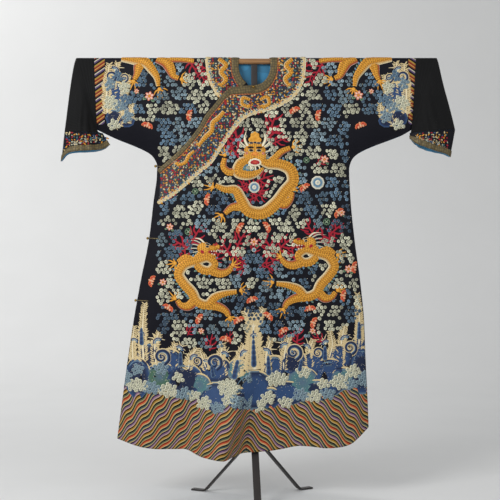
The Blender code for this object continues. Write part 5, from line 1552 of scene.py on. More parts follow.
def silk_floss(looks):
    """Silk floss in satin stitch and couched gold thread, each patch in its own thread colour.

    The colour attribute gives the thread, and its fourth value how much of it is gilt thread. On cloud
    lobes a spiral furrow turns inwards: the angle plus the reach over its pitch, kept below a third. Its
    colour is painted down to 0.34 of the thread, against 1.12 beside it, as painted shade in the furrow.
    The stitches lie side by side: the real 0.3 mm is drawn at 1.6 mm so that it shows, and their streaks
    paint the colour lighter and darker, partly the floss's own uneven tone and partly painted sheen. On
    gilt thread the scales are rows of arcs, worked out from the distance along and across the patch.
    """
    material, shader, node = start_material("silk_floss_embroidery", Specular_IOR_Level=0.22,
                                            Sheen_Weight=0.02, Sheen_Roughness=0.4)
    floss = node("Attribute", attribute_name="thread", attribute_type="GEOMETRY")
    gilt = floss.outputs["Alpha"]
    uv = node("UVMap", uv_map="cloth")
    stitch = node("Mapping", {"Vector": uv, "Scale": (620.0, 90.0, 1.0)})
    stitch = node("TexNoise", {"Vector": stitch, "Scale": 1.0, "Detail": 1.0})
    split = node("SeparateXYZ", {"Vector": uv})
    row = node("Math", {0: split.outputs["X"], 1: looks.scale_size}, operation="DIVIDE")
    across = node("Math", {0: split.outputs["Y"], 1: looks.scale_size}, operation="DIVIDE")
    shift = node("Math", {0: row}, operation="FLOOR")
    shift = node("Math", {0: shift, 1: 0.5, 2: across}, operation="MULTIPLY_ADD")
    cell = node("Math", {0: shift}, operation="FRACT")
    cell = node("Math", {0: cell, 1: 0.5}, operation="SUBTRACT")
    lane = node("Math", {0: row}, operation="FRACT")
    reach = node("Math", {0: cell, 1: cell}, operation="MULTIPLY")
    reach = node("Math", {0: reach, 1: 2.6, 2: lane}, operation="MULTIPLY_ADD")
    edge = node("MapRange", {"Value": reach, "From Min": 0.60, "From Max": 0.95, "To Min": 1.12,
                             "To Max": 0.22})
    scale = node("Mix", {0: gilt, 2: 1.0, 3: edge}, data_type="FLOAT")
    curl = node("Attribute", attribute_name="curl", attribute_type="GEOMETRY").outputs["Fac"]
    turn = node("Math", {0: split.outputs["Y"], 1: split.outputs["X"]}, operation="ARCTAN2")
    turn = node("Math", {0: turn, 1: 2 * math.pi}, operation="DIVIDE")
    reach = node("VectorMath", {0: uv}, operation="LENGTH").outputs["Value"]
    coil = node("Math", {0: reach, 1: 1 / SCROLL_PITCH, 2: turn}, operation="MULTIPLY_ADD")
    coil = node("Math", {0: coil}, operation="FRACT")
    coil = node("Math", {0: coil, 1: 0.36}, operation="LESS_THAN")
    furrow = node("Math", {0: coil, 1: curl}, operation="MULTIPLY")
    # Painted shade in the spiral furrow: the thread colour drops to 0.34 in the furrow, against 1.12 beside
    # it.
    dark = node("MapRange", {"Value": furrow, "To Min": 1.12, "To Max": 0.34})
    scale = node("Math", {0: scale, 1: dark}, operation="MULTIPLY")
    # Painted sheen along the stitches: stretched stitch noise paints the thread colour lighter and darker,
    # partly the floss's own uneven tone.
    streaks_and_sheen = node("MapRange", {"Value": stitch.outputs["Fac"], "To Min": 0.55, "To Max": 1.35})
    shade = node("Math", {0: scale, 1: streaks_and_sheen}, operation="MULTIPLY")
    tint = node("VectorMath", {0: floss.outputs["Color"], 1: shade}, operation="MULTIPLY")
    metal = node("Math", {0: gilt, 1: 0.35}, operation="MULTIPLY")
    gloss = node("MapRange", {"Value": gilt, "To Min": 0.58, "To Max": 0.45})
    relief = node("Math", {0: scale, 1: 1.0, 2: stitch.outputs["Fac"]}, operation="MULTIPLY_ADD")
    bump = node("Bump", {"Strength": 0.5, "Distance": 0.0006, "Height": relief})
    set_inputs(shader, {"Base Color": tint, "Metallic": metal, "Roughness": gloss, "Normal": bump})
    return material


def gilt_brass():
    """Gilt brass buttons, cast and burnished: warm metal, rubbed bright on top and brown in its pits."""
    material, shader, node = start_material("gilt_brass", Metallic=1.0)
    place = node("TexCoord").outputs["Object"]
    pits = node("TexNoise", {"Vector": place, "Scale": 420.0, "Detail": 3.0})
    tint = node("ValToRGB", {"Fac": pits.outputs["Fac"]},
                stops=[(0.3, "#4b3718"), (0.5, "#95743a"), (0.7, "#c6a35c")])
    gloss = node("MapRange", {"Value": pits.outputs["Fac"], "To Min": 0.5, "To Max": 0.25})
    bump = node("Bump", {"Strength": 0.35, "Distance": 0.0005, "Height": pits.outputs["Fac"]})
    set_inputs(shader, {"Base Color": tint, "Roughness": gloss, "Normal": bump})
    return material


def varnished_wood():
    """Turned beech under brown varnish: grain 4 mm wide runs along the bar, with a satin coat over it."""
    material, shader, node = start_material("varnished_beech", Coat_Weight=0.35, Coat_Roughness=0.25)
    place = node("TexCoord").outputs["Object"]
    grain = node("Mapping", {"Vector": place, "Scale": (6.0, 240.0, 240.0)})
    grain = node("TexNoise", {"Vector": grain, "Scale": 1.0, "Detail": 5.0, "Distortion": 0.4})
    tint = node("ValToRGB", {"Fac": grain.outputs["Fac"]},
                stops=[(0.25, "#5f3c1d"), (0.5, "#8c6236"), (0.75, "#a87c48")])
    gloss = node("MapRange", {"Value": grain.outputs["Fac"], "To Min": 0.55, "To Max": 0.35})
    bump = node("Bump", {"Strength": 0.2, "Distance": 0.0004, "Height": grain.outputs["Fac"]})
    set_inputs(shader, {"Base Color": tint, "Roughness": gloss, "Normal": bump})
    return material


def powder_steel():
    """Mild steel, powder-coated black: an orange-peel skin 2 mm across, rubbed browner in places."""
    material, shader, node = start_material("black_powder_coated_steel", Metallic=0.25)
    place = node("TexCoord").outputs["Object"]
    peel = node("TexNoise", {"Vector": place, "Scale": 480.0, "Detail": 2.0})
    rub = node("TexNoise", {"Vector": place, "Scale": 16.0, "Detail": 4.0})
    tint = node("Mix", {0: rub.outputs["Fac"], 6: "#242121", 7: "#383331"}, data_type="RGBA")
    gloss = node("MapRange", {"Value": rub.outputs["Fac"], "To Min": 0.38, "To Max": 0.58})
    bump = node("Bump", {"Strength": 0.25, "Distance": 0.0004, "Height": peel.outputs["Fac"]})
    set_inputs(shader, {"Base Color": tint, "Roughness": gloss, "Normal": bump})
    return material


def backdrop_paper():
    """Matt grey-white backdrop paper with a faint fibre mottle."""
    material, shader, node = start_material("backdrop_paper", Roughness=0.9, Specular_IOR_Level=0.2)
    place = node("TexCoord").outputs["Object"]
    mottle = node("TexNoise", {"Vector": place, "Scale": 3.0, "Detail": 3.0})
    tint = node("Mix", {0: mottle.outputs["Fac"], 6: "#d9d9d8", 7: "#dededd"}, data_type="RGBA")
    set_inputs(shader, {"Base Color": tint})
    return material


MATERIAL_MAKERS = {
    "satin": satin_silk, "lining": damask_lining, "ribbed": ribbed_silk, "brocade": gold_brocade,
    "piping": cord_piping, "facing": facing_silk, "floss": silk_floss, "gilt": gilt_brass,
    "wood": varnished_wood, "steel": powder_steel, "paper": backdrop_paper,
}
MATERIALS = {}


def finish_of(name, looks):
    """One of the scene's materials, made the first time that it is asked for."""
    if name not in MATERIALS:
        maker = MATERIAL_MAKERS[name]
        MATERIALS[name] = maker(looks) if name in ("satin", "lining", "floss") else maker()
    return MATERIALS[name]


def panel_grid(face, rows, from_x, to_x):
    """A panel's points as x and v: each row is spread evenly between its two edges, and warped to the hem."""
    low, high = from_x(z_at(rows)), to_x(z_at(rows))
    for _ in range(4):
        low = from_x(z_at(hem_warp(face, low, rows)))
        high = to_x(z_at(hem_warp(face, high, rows)))
    share = np.linspace(0, 1, int((high - low).max() / PANEL_PITCH) + 2)
    x = low[:, None] + (high - low)[:, None] * share
    return x, hem_warp(face, x, rows[:, None])


def cloth_uv(face, x, v, seam):
    """How far along the cloth a point is from its seam, and down from the top of the bar."""
    z = np.minimum(z_at(v), BAR_AXIS_Z)
    return np.stack([read_form(face, "arc", x, z) - read_form(face, "arc", seam(z), z), v], axis=-1)


def make_panel(looks, name, face, rows, from_x, to_x, lifted):
    """One panel as a closed wall of satin backed with lining, on the hanging form."""
    x, v = panel_grid(face, rows, from_x, to_x)
    off = lap_lift(x) if lifted else np.zeros_like(x)
    seam = seam_x if face < 0 else np.zeros_like
    return closed_wall(name, on_cloth(face, x, v, off), on_cloth(face, x, v, off + CLOTH),
                       cloth_uv(face, x, v, seam), [finish_of("satin", looks), finish_of("lining", looks)])


def rows_to(bottom_z, first=None):
    """Distances along the cloth from a panel's top to its foot: close over the bar, then evenly spaced."""
    if first is None:
        over = np.linspace(SEAM / 2, SHOULDER_ARC, 7)[:-1]
        start = SHOULDER_ARC
    else:
        over = np.asarray(v_at(first[:-1]))
        start = float(v_at(first[-1]))
    end = float(v_at(bottom_z))
    return np.concatenate([over, np.linspace(start, end, int((end - start) / PANEL_PITCH) + 2)])


def left_normal(x, z):
    """Unit normals on the left of a path."""
    dx, dz = np.gradient(x), np.gradient(z)
    size = np.hypot(dx, dz)
    return -dz / size, dx / size


def trim_rows(table, count, front=True):
    """Edges of the band, piping and facing along a trim, carried up over the shoulder.

    Each is the edge curve moved along its normal by the band's width and the gaps beside it.
    """
    index = np.arange(len(table["edge_x"]))
    at = np.linspace(0, index[-1], count)
    row = {name: smooth_line(index, table[name], at) for name in table}
    nx, nz = left_normal(row["edge_x"], row["edge_z"])
    sign = 1.0 if front else -1.0
    nx, nz = nx * sign, nz * sign
    nx[0], nz[0] = sign, 0.0
    edges = {"edge_x": row["edge_x"], "edge_v": v_at(row["edge_z"])}
    for name, more in (("band", 0.0), ("piping_in", TRIM_GAP), ("piping_out", TRIM_GAP + PIPING_WIDTH),
                       ("face_in", 2 * TRIM_GAP + PIPING_WIDTH)):
        edges[name + "_x"] = row["edge_x"] + nx * (row["band"] + more)
        edges[name + "_v"] = v_at(row["edge_z"] + nz * (row["band"] + more))
    edges["face_x"], edges["face_v"] = row["face_x"], v_at(row["face_z"])
    over = np.linspace(SEAM / 2, SHOULDER_ARC, 6)[:-1]
    return {name: np.concatenate([over if name.endswith("_v") else np.full(5, value[0]), value])
            for name, value in edges.items()}


def back_trim_rows(count):
    """The same edges across the back of the neck, closer together at both ends."""
    index = np.arange(len(BACK_TRIM["edge_x"]))
    at = index[-1] * (0.5 - 0.5 * np.cos(np.linspace(0, math.pi, count)))
    row = {name: smooth_line(index, BACK_TRIM[name], at) for name in BACK_TRIM}
    for name in ("edge_v", "band_v", "face_v"):
        row[name][[0, -1]] = SEAM / 2
        row[name] = np.maximum(row[name], SEAM / 2)
    row["face_in_x"] = row["band_x"] + (row["face_x"] - row["band_x"]) * 0.05
    row["face_in_v"] = np.maximum(row["band_v"] + (row["face_v"] - row["band_v"]) * 0.05, SEAM / 2)
    return row


def strip(looks, name, face, row, inner, outer, thickness, finish, columns, lifted, rise):
    """A trim sewn on the panels: across it, its top is a flat dome, thin at both edges."""
    share = np.linspace(0, 1, columns)
    x = row[inner + "_x"][:, None] + (row[outer + "_x"] - row[inner + "_x"])[:, None] * share
    v = row[inner + "_v"][:, None] + (row[outer + "_v"] - row[inner + "_v"])[:, None] * share
    base = CLOTH + LAY_GAP + rise + (lap_lift(x) if lifted else 0.0 * x)
    dome = thickness * (0.25 + 0.75 * (1 - np.abs(2 * share - 1) ** 4))
    low, high = on_cloth(face, x, v, base), on_cloth(face, x, v, base + dome)
    along = np.concatenate([[0], np.cumsum(np.linalg.norm(np.diff(low[:, columns // 2], axis=0), axis=1))])
    width = np.linalg.norm(low[:, -1] - low[:, 0], axis=1)
    uv = np.stack(np.broadcast_arrays(along[:, None], width[:, None] * share), axis=-1)
    return closed_wall(name, low, high, uv, [finish_of(finish, looks)])


def sleeve_rings(table, rows, columns):
    """Sections of a lower sleeve, each a flat loop from the ridge down the front and back up behind.

    The sections' rows run smoothly through the table. Each loop starts as the bar's quarter circle,
    then stands off by the sleeve's depth times sine squared, less at two troughs that deepen towards
    the cuff. The outward normals come from the loop's own differences.
    """
    index = np.arange(len(table["depth"]))
    at = np.linspace(0, index[-1], rows)
    row = {name: smooth_line(index, table[name], at) for name in table}
    ridge = np.column_stack([row["ridge_x"], row["ridge_z"] - CLOTH])
    seam = np.column_stack([row["seam_x"], row["seam_z"]])
    length = np.linalg.norm(ridge - seam, axis=1)[:, None]
    turn = np.linspace(0, math.pi / 2, 7)
    share = np.sin(np.linspace(0, math.pi / 2, columns))[1:]
    straight = DRAPE_RADIUS + share * (length - DRAPE_RADIUS)
    down = np.concatenate([np.broadcast_to(DRAPE_RADIUS * (1 - np.cos(turn)), (rows, 7)), straight], axis=1)
    top = np.concatenate([DRAPE_RADIUS * np.sin(turn), np.full(columns - 1, DRAPE_RADIUS)])
    bulge = row["depth"][:, None] * np.sin(math.pi * down / length) ** 2
    half = top * swell((length - down) / ROUND_REACH) + bulge
    growth = np.clip(at / index[-1] * 2.2 - 0.9, 0, 1)[:, None]
    for place, width, depth in SLEEVE_TROUGHS:
        half = half - growth * depth * np.exp(-(((down / length - place) / width) ** 2)) * swell(half / 0.012)
    down = np.concatenate([down, down[:, -2:0:-1]], axis=1)
    y = np.concatenate([-half, half[:, -2:0:-1]], axis=1)
    line = (seam - ridge) / length
    points = np.stack([ridge[:, :1] + line[:, :1] * down, y, ridge[:, 1:] + line[:, 1:] * down], axis=-1)
    tangent = np.stack([np.roll(down, -1, 1) - np.roll(down, 1, 1), np.roll(y, -1, 1) - np.roll(y, 1, 1)],
                       axis=-1)
    normal = np.stack([tangent[..., 1], -tangent[..., 0]], axis=-1)
    normal /= np.linalg.norm(normal, axis=-1, keepdims=True)
    middle = np.stack([down.mean(axis=1), y.mean(axis=1)], axis=-1)[:, None]
    outwards = np.sign((normal * (np.stack([down, y], axis=-1) - middle)).sum(axis=(1, 2)))
    normal *= outwards[:, None, None]
    out = np.stack([line[:, :1] * normal[..., 0], normal[..., 1], line[:, 1:] * normal[..., 0]], axis=-1)
    return points, out


def close_ring(points):
    """Repeats the first column after the last, so that the pattern can run right round."""
    return np.concatenate([points, points[:, :1]], axis=1)


def ring_uv(points):
    """Distance round and distance along a ring's surface, from the summed lengths of its own edges."""
    around = np.linalg.norm(np.diff(points, axis=1), axis=-1)
    around = np.concatenate([np.zeros((len(points), 1)), np.cumsum(around, axis=1)], axis=1)
    down = np.linalg.norm(np.diff(points, axis=0), axis=-1).mean(axis=1)
    down = np.concatenate([[0], np.cumsum(down)])
    return np.stack(np.broadcast_arrays(around, down[:, None]), axis=-1)


def ring_wall(name, inner, out, low, high, materials):
    """A sleeve or cuff wall from its inner rings, moved out from a low to a high distance."""
    offset = np.array([0.0, FRAME_Y, 0.0])
    inside = close_ring(inner + out * low) + offset
    outside = close_ring(inner + out * high) + offset
    return closed_wall(name, inside, outside, ring_uv(outside), materials, ring=True)


def cuff_rings(ring, out, cuff, rows):
    """A hoof cuff: lines from the sleeve's last ring to the hoof's curved edge, normals levelling out."""
    length = np.linalg.norm(ring[0] - ring[len(ring) // 2])
    share = np.linalg.norm((ring - ring[0])[:, [0, 2]], axis=1) / length
    edge_x = smooth_line(cuff["share"], cuff["edge_x"], share)
    edge_z = smooth_line(cuff["share"], cuff["edge_z"], share)
    start = ring + np.array([0.0, 0.0, -SEAM])
    edge = np.column_stack([edge_x, ring[:, 1] * 1.12, edge_z])
    drop = np.linalg.norm(edge - start, axis=1)[:, None]
    band_top = 1 - np.minimum(CUFF_BAND / drop, 0.6)
    upper = np.linspace(0, 1, rows)[:, None, None] * band_top
    lower = band_top + np.linspace(0, 1, 5)[1:, None, None] * (1 - band_top)
    level = np.concatenate([upper, lower])
    inner = start + (edge - start) * level
    flat = out * np.array([1.0, 1.0, 0.0])
    flat /= np.linalg.norm(flat, axis=1, keepdims=True)
    turned = out + (flat - out) * level
    turned /= np.linalg.norm(turned, axis=2, keepdims=True)
    return inner, turned


def lathe(name, profile, centre, material, sides):
    """A turned shape: a profile of (radius, height) rows round an upright axis, closed at both poles."""
    profile = np.asarray(profile, float)
    turn = np.arange(sides) * 2 * math.pi / sides
    ring = np.stack([profile[1:-1, :1] * np.cos(turn), profile[1:-1, :1] * np.sin(turn),
                     np.broadcast_to(profile[1:-1, 1:], (len(profile) - 2, sides))], axis=-1)
    points = np.concatenate([[[0, 0, profile[0, 1]]], ring.reshape(-1, 3), [[0, 0, profile[-1, 1]]]])
    step = np.arange(sides)
    after = (step + 1) % sides
    last = len(points) - 1
    rows = np.arange(len(profile) - 3)[:, None] * sides + 1
    sheet = np.stack([rows + step, rows + after, rows + sides + after, rows + sides + step], axis=-1)
    low = np.stack([0 * step, 1 + after, 1 + step], axis=-1)
    high = np.stack([last + 0 * step, last - sides + step, last - sides + after], axis=-1)
    faces = low.tolist() + sheet.reshape(-1, 4).tolist() + high.tolist()
    uv = points[:, [0, 2]]
    obj = mesh_object(name, points + np.asarray(centre), faces, uv, [material])
    turn_out(obj)
    return obj


def rounded_section(half_width, half_depth, corner):
    """A rectangle with quarter-round corners, as points in order."""
    turn = np.linspace(0, math.pi / 2, CORNER_POINTS)
    points = []
    for k, (sx, sy) in enumerate(((1, 1), (-1, 1), (-1, -1), (1, -1))):
        angle = turn + k * math.pi / 2
        points.append(np.column_stack([sx * (half_width - corner) + corner * np.cos(angle),
                                       sy * (half_depth - corner) + corner * np.sin(angle)]))
    return np.concatenate(points)


def swept_bar(name, path, side, half_width, half_depth, corner, material):
    """A flat bar: a rounded rectangle carried along a path, square to it, with small chamfers at both ends.

    The section's width lies along the given side direction, and its depth along side cross path.
    """
    path, side = np.asarray(path, float), np.asarray(side, float)
    slope = np.gradient(path, axis=0)
    slope /= np.linalg.norm(slope, axis=1, keepdims=True)
    up = np.cross(side, slope)
    up /= np.linalg.norm(up, axis=1, keepdims=True)
    section = rounded_section(half_width, half_depth, corner)
    chamfer = min(half_depth, corner) * 0.6
    path = np.concatenate([path[:1], path[:1] + slope[:1] * chamfer, path[1:-1],
                           path[-1:] - slope[-1:] * chamfer, path[-1:]])
    up = np.concatenate([up[:1], up, up[-1:]])
    inset = np.ones(len(path))
    inset[[0, -1]] = 1 - chamfer / half_width
    depth_inset = np.ones(len(path))
    depth_inset[[0, -1]] = 1 - chamfer / half_depth
    rings = (path[:, None] + side * (section[:, 0] * inset[:, None])[..., None]
             + up[:, None] * (section[:, 1] * depth_inset[:, None])[..., None])
    count, around = rings.shape[:2]
    closed = close_ring(rings)
    faces = grid_faces(count, around + 1).tolist()
    points = closed.reshape(-1, 3)
    faces.append(list(range(around)))
    faces.append([(count - 1) * (around + 1) + k for k in range(around)][::-1])
    uv = ring_uv(closed).reshape(-1, 2)
    obj = mesh_object(name, points, faces, uv, [material])
    turn_out(obj, merge=True)
    obj.data.shade_smooth()
    obj.data.set_sharp_from_angle(angle=math.radians(35))
    return obj


def front_base(x, z):
    """The height of the panels' outer side over the form: raised on the flap, not on the under front."""
    on_flap = (x > flap_edge_x(z)) & (z < NECK_ROUND_Z - NECK_DROP)
    return CLOTH + np.where(on_flap, lap_lift(x), 0.0)


def back_base(x, z):
    """The height of the back panels' outer side over the form."""
    return CLOTH + 0.0 * x


def facing_base(x, z):
    """The height of the facing's outer side over the form, on the flap's side of the neck and beyond it."""
    return CLOTH + LAY_GAP + FRONT_TRIM_RISE + FACING_THICKNESS * 0.9 + lap_lift(x)


def under_facing_base(x, z):
    """The height of the under front's facing over the form."""
    return CLOTH + LAY_GAP + FACING_THICKNESS * 0.9 + 0.0 * x


def back_facing_base(x, z):
    """The height of the back facing's outer side over the form."""
    return CLOTH + LAY_GAP + BACK_FACING_RISE + FACING_THICKNESS * 0.9 + 0.0 * x


class RobeLooks(bpy.types.PropertyGroup):
    """Sizes and colours of the robe's looks."""

    crease: bpy.props.FloatProperty(
        name="Crease depth", description="How deep the finest creases are", default=0.0032, min=0.0,
        unit="LENGTH")
    stripe_period: bpy.props.FloatProperty(
        name="Water stripe repeat", description="Height of one run of the slanted hem stripes",
        default=0.064, min=0.01, unit="LENGTH")
    stripe_slope: bpy.props.FloatProperty(
        name="Water stripe slope", description="How far the hem stripes rise for each metre outwards",
        default=0.88)
    scale_size: bpy.props.FloatProperty(
        name="Scale length", description="Length of one dragon scale", default=0.0075, min=0.001,
        unit="LENGTH")
    ground: bpy.props.FloatVectorProperty(
        name="Ground", description="Colour of the satin ground", default=linear("#111118"), size=3,
        subtype="COLOR", min=0.0, max=1.0)
    lining: bpy.props.FloatVectorProperty(
        name="Lining", description="Colour of the damask lining", default=linear("#2c7296"), size=3,
        subtype="COLOR", min=0.0, max=1.0)
    light: bpy.props.FloatProperty(
        name="Key light", description="Strength of the large soft light", default=95.0, min=0.0, unit="POWER")


def start_piece(context):
    """The looks, with the hanging form ready."""
    looks = context.scene.robe_looks
    hang_cloth(looks.crease)
    return looks


class ROBE_OT_panels(bpy.types.Operator):
    """Hangs the left front, the curved flap, the under front and the two back halves"""

    bl_idname = "robe.panels"
    bl_label = "Panels"

    def execute(self, context):
        looks = start_piece(context)
        neck_foot = NECK_ROUND_Z - NECK_DROP
        half = SEAM / 2

        def left_edge(z):
            return np.where(z > neck_foot, np.maximum(neck_x(1, z), seam_x(z) + half), seam_x(z) + half)

        def under_edge(z):
            return np.where(z > neck_foot, np.minimum(neck_x(-1, z), UNDER_EDGE_X), UNDER_EDGE_X)

        def back_edge(side):
            return lambda z: np.where(z > BAR_AXIS_Z - 1e-6, NECK_CENTRE_X + side * NECK_HALF_WIDTH,
                                      side * half)

        def flap_side(z):
            return seam_x(z) - half

        full = rows_to(HEM_Z)
        sides = {side: (lambda z, s=side: side_x(s, z)) for side in (-1, 1)}
        table = [
            ("front_left", -1, full, left_edge, sides[1], True, 0.57),
            ("outer_flap", -1, rows_to(HEM_Z, FLAP_TOPS), flap_edge_x, flap_side, True, 0.48),
            ("under_front", -1, rows_to(UNDER_HEM_Z), sides[-1], under_edge, False, 0.38),
            ("back_right", 1, full, sides[-1], back_edge(-1), False, 0.63),
            ("back_left", 1, full, back_edge(1), sides[1], False, 0.57),
        ]
        for name, face, rows, from_x, to_x, lifted, area in table:
            obj = make_panel(looks, name + "_silk", face, rows, from_x, to_x, lifted)
            finish_piece(obj, nodes_named(name))
        return {"FINISHED"}


class ROBE_OT_sleeves(bpy.types.Operator):
    """Turns the ribbed lower sleeves down over the bar's ends, with their hoof cuffs and brocade edges"""

    bl_idname = "robe.sleeves"
    bl_label = "Sleeves and cuffs"

    def execute(self, context):
        looks = start_piece(context)
        lining = finish_of("lining", looks)
        for side, table, cuff in (("right", LEFT_SLEEVE, LEFT_CUFF), ("left", RIGHT_SLEEVE, RIGHT_CUFF)):
            rings, outs = sleeve_rings(table, 72, 30)
            rings[0, :, 0] += (-1.0 if side == "right" else 1.0) * SEAM
            sleeve = ring_wall("lower_sleeve_%s_silk" % side, rings, outs, 0.0, CLOTH,
                               [finish_of("ribbed", looks), lining])
            finish_piece(sleeve, ["lower_sleeve_" + side])
            inner, turned = cuff_rings(rings[-1], outs[-1], cuff, 14)
            hoof = ring_wall("cuff_%s_silk" % side, inner, turned, 0.0, CLOTH,
                             [finish_of("satin", looks), lining])
            finish_piece(hoof, ["cuff_" + side])
            low = CLOTH + 1.6 * LAY_GAP
            band = ring_wall("cuff_band_%s_brocade" % side, inner[-5:], turned[-5:], low,
                             low + BAND_THICKNESS, [finish_of("brocade", looks)])
            finish_piece(band, ["cuff_band_" + side])
            work = Needlework()
            sign = -1.0 if side == "right" else 1.0
            lower = np.column_stack([cuff["edge_x"], cuff["edge_z"]]) + (0.0, CUFF_BAND + 0.003)
            upper = np.column_stack([np.linspace(*CUFF_TOP_X, 7) * sign, np.linspace(*CUFF_TOP_Z, 7)])
            facing_field(work, upper, lower, [[(0, 0, 1), (0, 9, 1)]])
            sprays(work, mirrored_sprays(CUFF_SPRAYS, sign))
            stitched_on(work, "cuff_%s_needlework" % side, (inner + turned * CLOTH)[:-4], looks)
        return {"FINISHED"}


def stitched_on(work, name, surface, looks):
    """Lays needlework on a cuff's near side: each point takes the depth of its nearest four grid points."""
    front = surface[:, :surface.shape[1] // 2].reshape(-1, 3)
    points = np.concatenate(work.points)
    gaps = np.hypot(points[:, :1] - front[:, 0], points[:, 1:2] - front[:, 2])
    near = np.argsort(gaps, axis=1)[:, :4]
    weight = 1 / (np.take_along_axis(gaps, near, axis=1) + 0.0005)
    y = (front[near, 1] * weight).sum(axis=1) / weight.sum(axis=1)
    laid = np.column_stack([points[:, 0], y - points[:, 2] + FRAME_Y, points[:, 1]])
    faces = [row for block in work.faces for row in block]
    finish_piece(work.build(name, laid, faces, finish_of("floss", looks)))


class ROBE_OT_trims(bpy.types.Operator):
    """Sews on the brocade bands, the orange piping and the wide facings, and lines the neck"""

    bl_idname = "robe.trims"
    bl_label = "Bands, piping and facings"

    def execute(self, context):
        looks = start_piece(context)
        front = trim_rows(FRONT_TRIM, 150)
        under = trim_rows(UNDER_TRIM, 30, front=False)
        back = back_trim_rows(70)
        kinds = {
            "band": ("edge", "band", BAND_THICKNESS, "brocade", "gold_brocade", 9),
            "piping": ("piping_in", "piping_out", BAND_THICKNESS, "piping", "orange_piping", 9),
            "facing": ("face_in", "face", FACING_THICKNESS, "facing", "facing_silk", 17),
        }
        table = [
            ("band_front", -1, front, FRONT_TRIM_RISE, (0.020, 0.62)),
            ("piping_front", -1, front, FRONT_TRIM_RISE, (0.0102, 0.64)),
            ("facing_front", -1, front, FRONT_TRIM_RISE, (0.080, 0.70)),
            ("band_under", -1, under, 0.0, (0.025, 0.11)),
            ("piping_under", -1, under, 0.0, (0.0102, 0.12)),
            ("facing_under", -1, under, 0.0, (0.085, 0.13)),
            ("band_back", 1, back, BACK_BAND_RISE, (0.025, 0.15)),
            ("facing_back", 1, back, BACK_FACING_RISE, (0.095, 0.30)),
        ]
        for name, face, row, rise, flat in table:
            kind, place = name.split("_")
            inner, outer, thickness, finish, slot, columns = kinds[kind]
            obj = strip(looks, name + "_trim", face, row, inner, outer, thickness, finish, columns,
                        place == "front", rise)
            finish_piece(obj, [name])
        x, v = np.meshgrid(np.linspace(*NECK_LINING_X, 28), np.linspace(*NECK_LINING_V, 26))
        inside, outside = (on_cloth(1, x, v, out) for out in NECK_LINING_OUT)
        obj = closed_wall("neck_lining_damask", inside, outside, np.stack([x, v], axis=-1),
                          [finish_of("lining", looks)])
        finish_piece(obj, ["neck_lining"])
        return {"FINISHED"}


class ROBE_OT_closures(bpy.types.Operator):
    """Adds the five gilt ball buttons and the narrow cloth loops that hold them"""

    bl_idname = "robe.closures"
    bl_label = "Buttons and loops"

    def execute(self, context):
        looks = start_piece(context)
        for name, start_x, start_z, end_x, end_z, high in CLOSURES:
            low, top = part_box("button_" + name)
            centre = (low + top) / 2
            size = (top.z - low.z) / 2
            turn = np.linspace(-math.pi / 2, math.pi / 2, 15)
            waist = 1 - BUTTON_WAIST * np.exp(-((turn / BUTTON_WAIST_ANGLE) ** 2))
            profile = np.column_stack([size * np.cos(turn) * waist, size * np.sin(turn)])
            button = lathe("button_%s_gilt" % name, profile, centre, finish_of("gilt", looks), 20)
            finish_piece(button, ["button_" + name])
            line_x, line_z = np.linspace(start_x, end_x, 24), np.linspace(start_z, end_z, 24)
            nx, nz = left_normal(line_x, line_z)
            row = {"low_x": line_x - nx * LOOP_WIDTH / 2, "low_v": v_at(line_z - nz * LOOP_WIDTH / 2),
                   "high_x": line_x + nx * LOOP_WIDTH / 2, "high_v": v_at(line_z + nz * LOOP_WIDTH / 2)}
            loop = strip(looks, "loop_%s_cord" % name, -1, row, "low", "high", LOOP_THICKNESS, "brocade", 7,
                         True, high)
            finish_piece(loop, ["loop_" + name])
        return {"FINISHED"}


def mirrored(rows, sign):
    """Rows that start with x, on one side of the robe or the other."""
    return [(sign * x, *rest) for x, *rest in rows]


def mirrored_sprays(rows, sign):
    """Splashes on one side of the robe or the other, their turns mirrored too."""
    return [(sign * x, z, size, 90 + sign * (turn - 90)) for x, z, size, turn in rows]


FACES = ((-1, front_base, "front"), (1, back_base, "back"))


def stitch(looks, work, name, face, base, slot="ground_silk"):
    """Places a batch of needlework and lets it ride with the robe."""
    finish_piece(work.place(name, face, base, finish_of("floss", looks)))


class ROBE_OT_clouds(bpy.types.Operator):
    """Embroiders the cloud scrolls, flames, bats, flowers and pearls that fill the ground"""

    bl_idname = "robe.clouds"
    bl_label = "Clouds and small motifs"

    def execute(self, context):
        looks = start_piece(context)
        for face, base, place in FACES:
            work = Needlework()
            cloud_field(work, face)
            stitch(looks, work, "clouds_" + place, face, base)
            work = Needlework()
            flames(work, FLAMES)
            bats(work, BATS)
            flowers(work, FLOWERS)
            roundels(work, ROUNDELS)
            pearls(work, PEARLS)
            stitch(looks, work, "small_motifs_" + place, face, base)
        return {"FINISHED"}


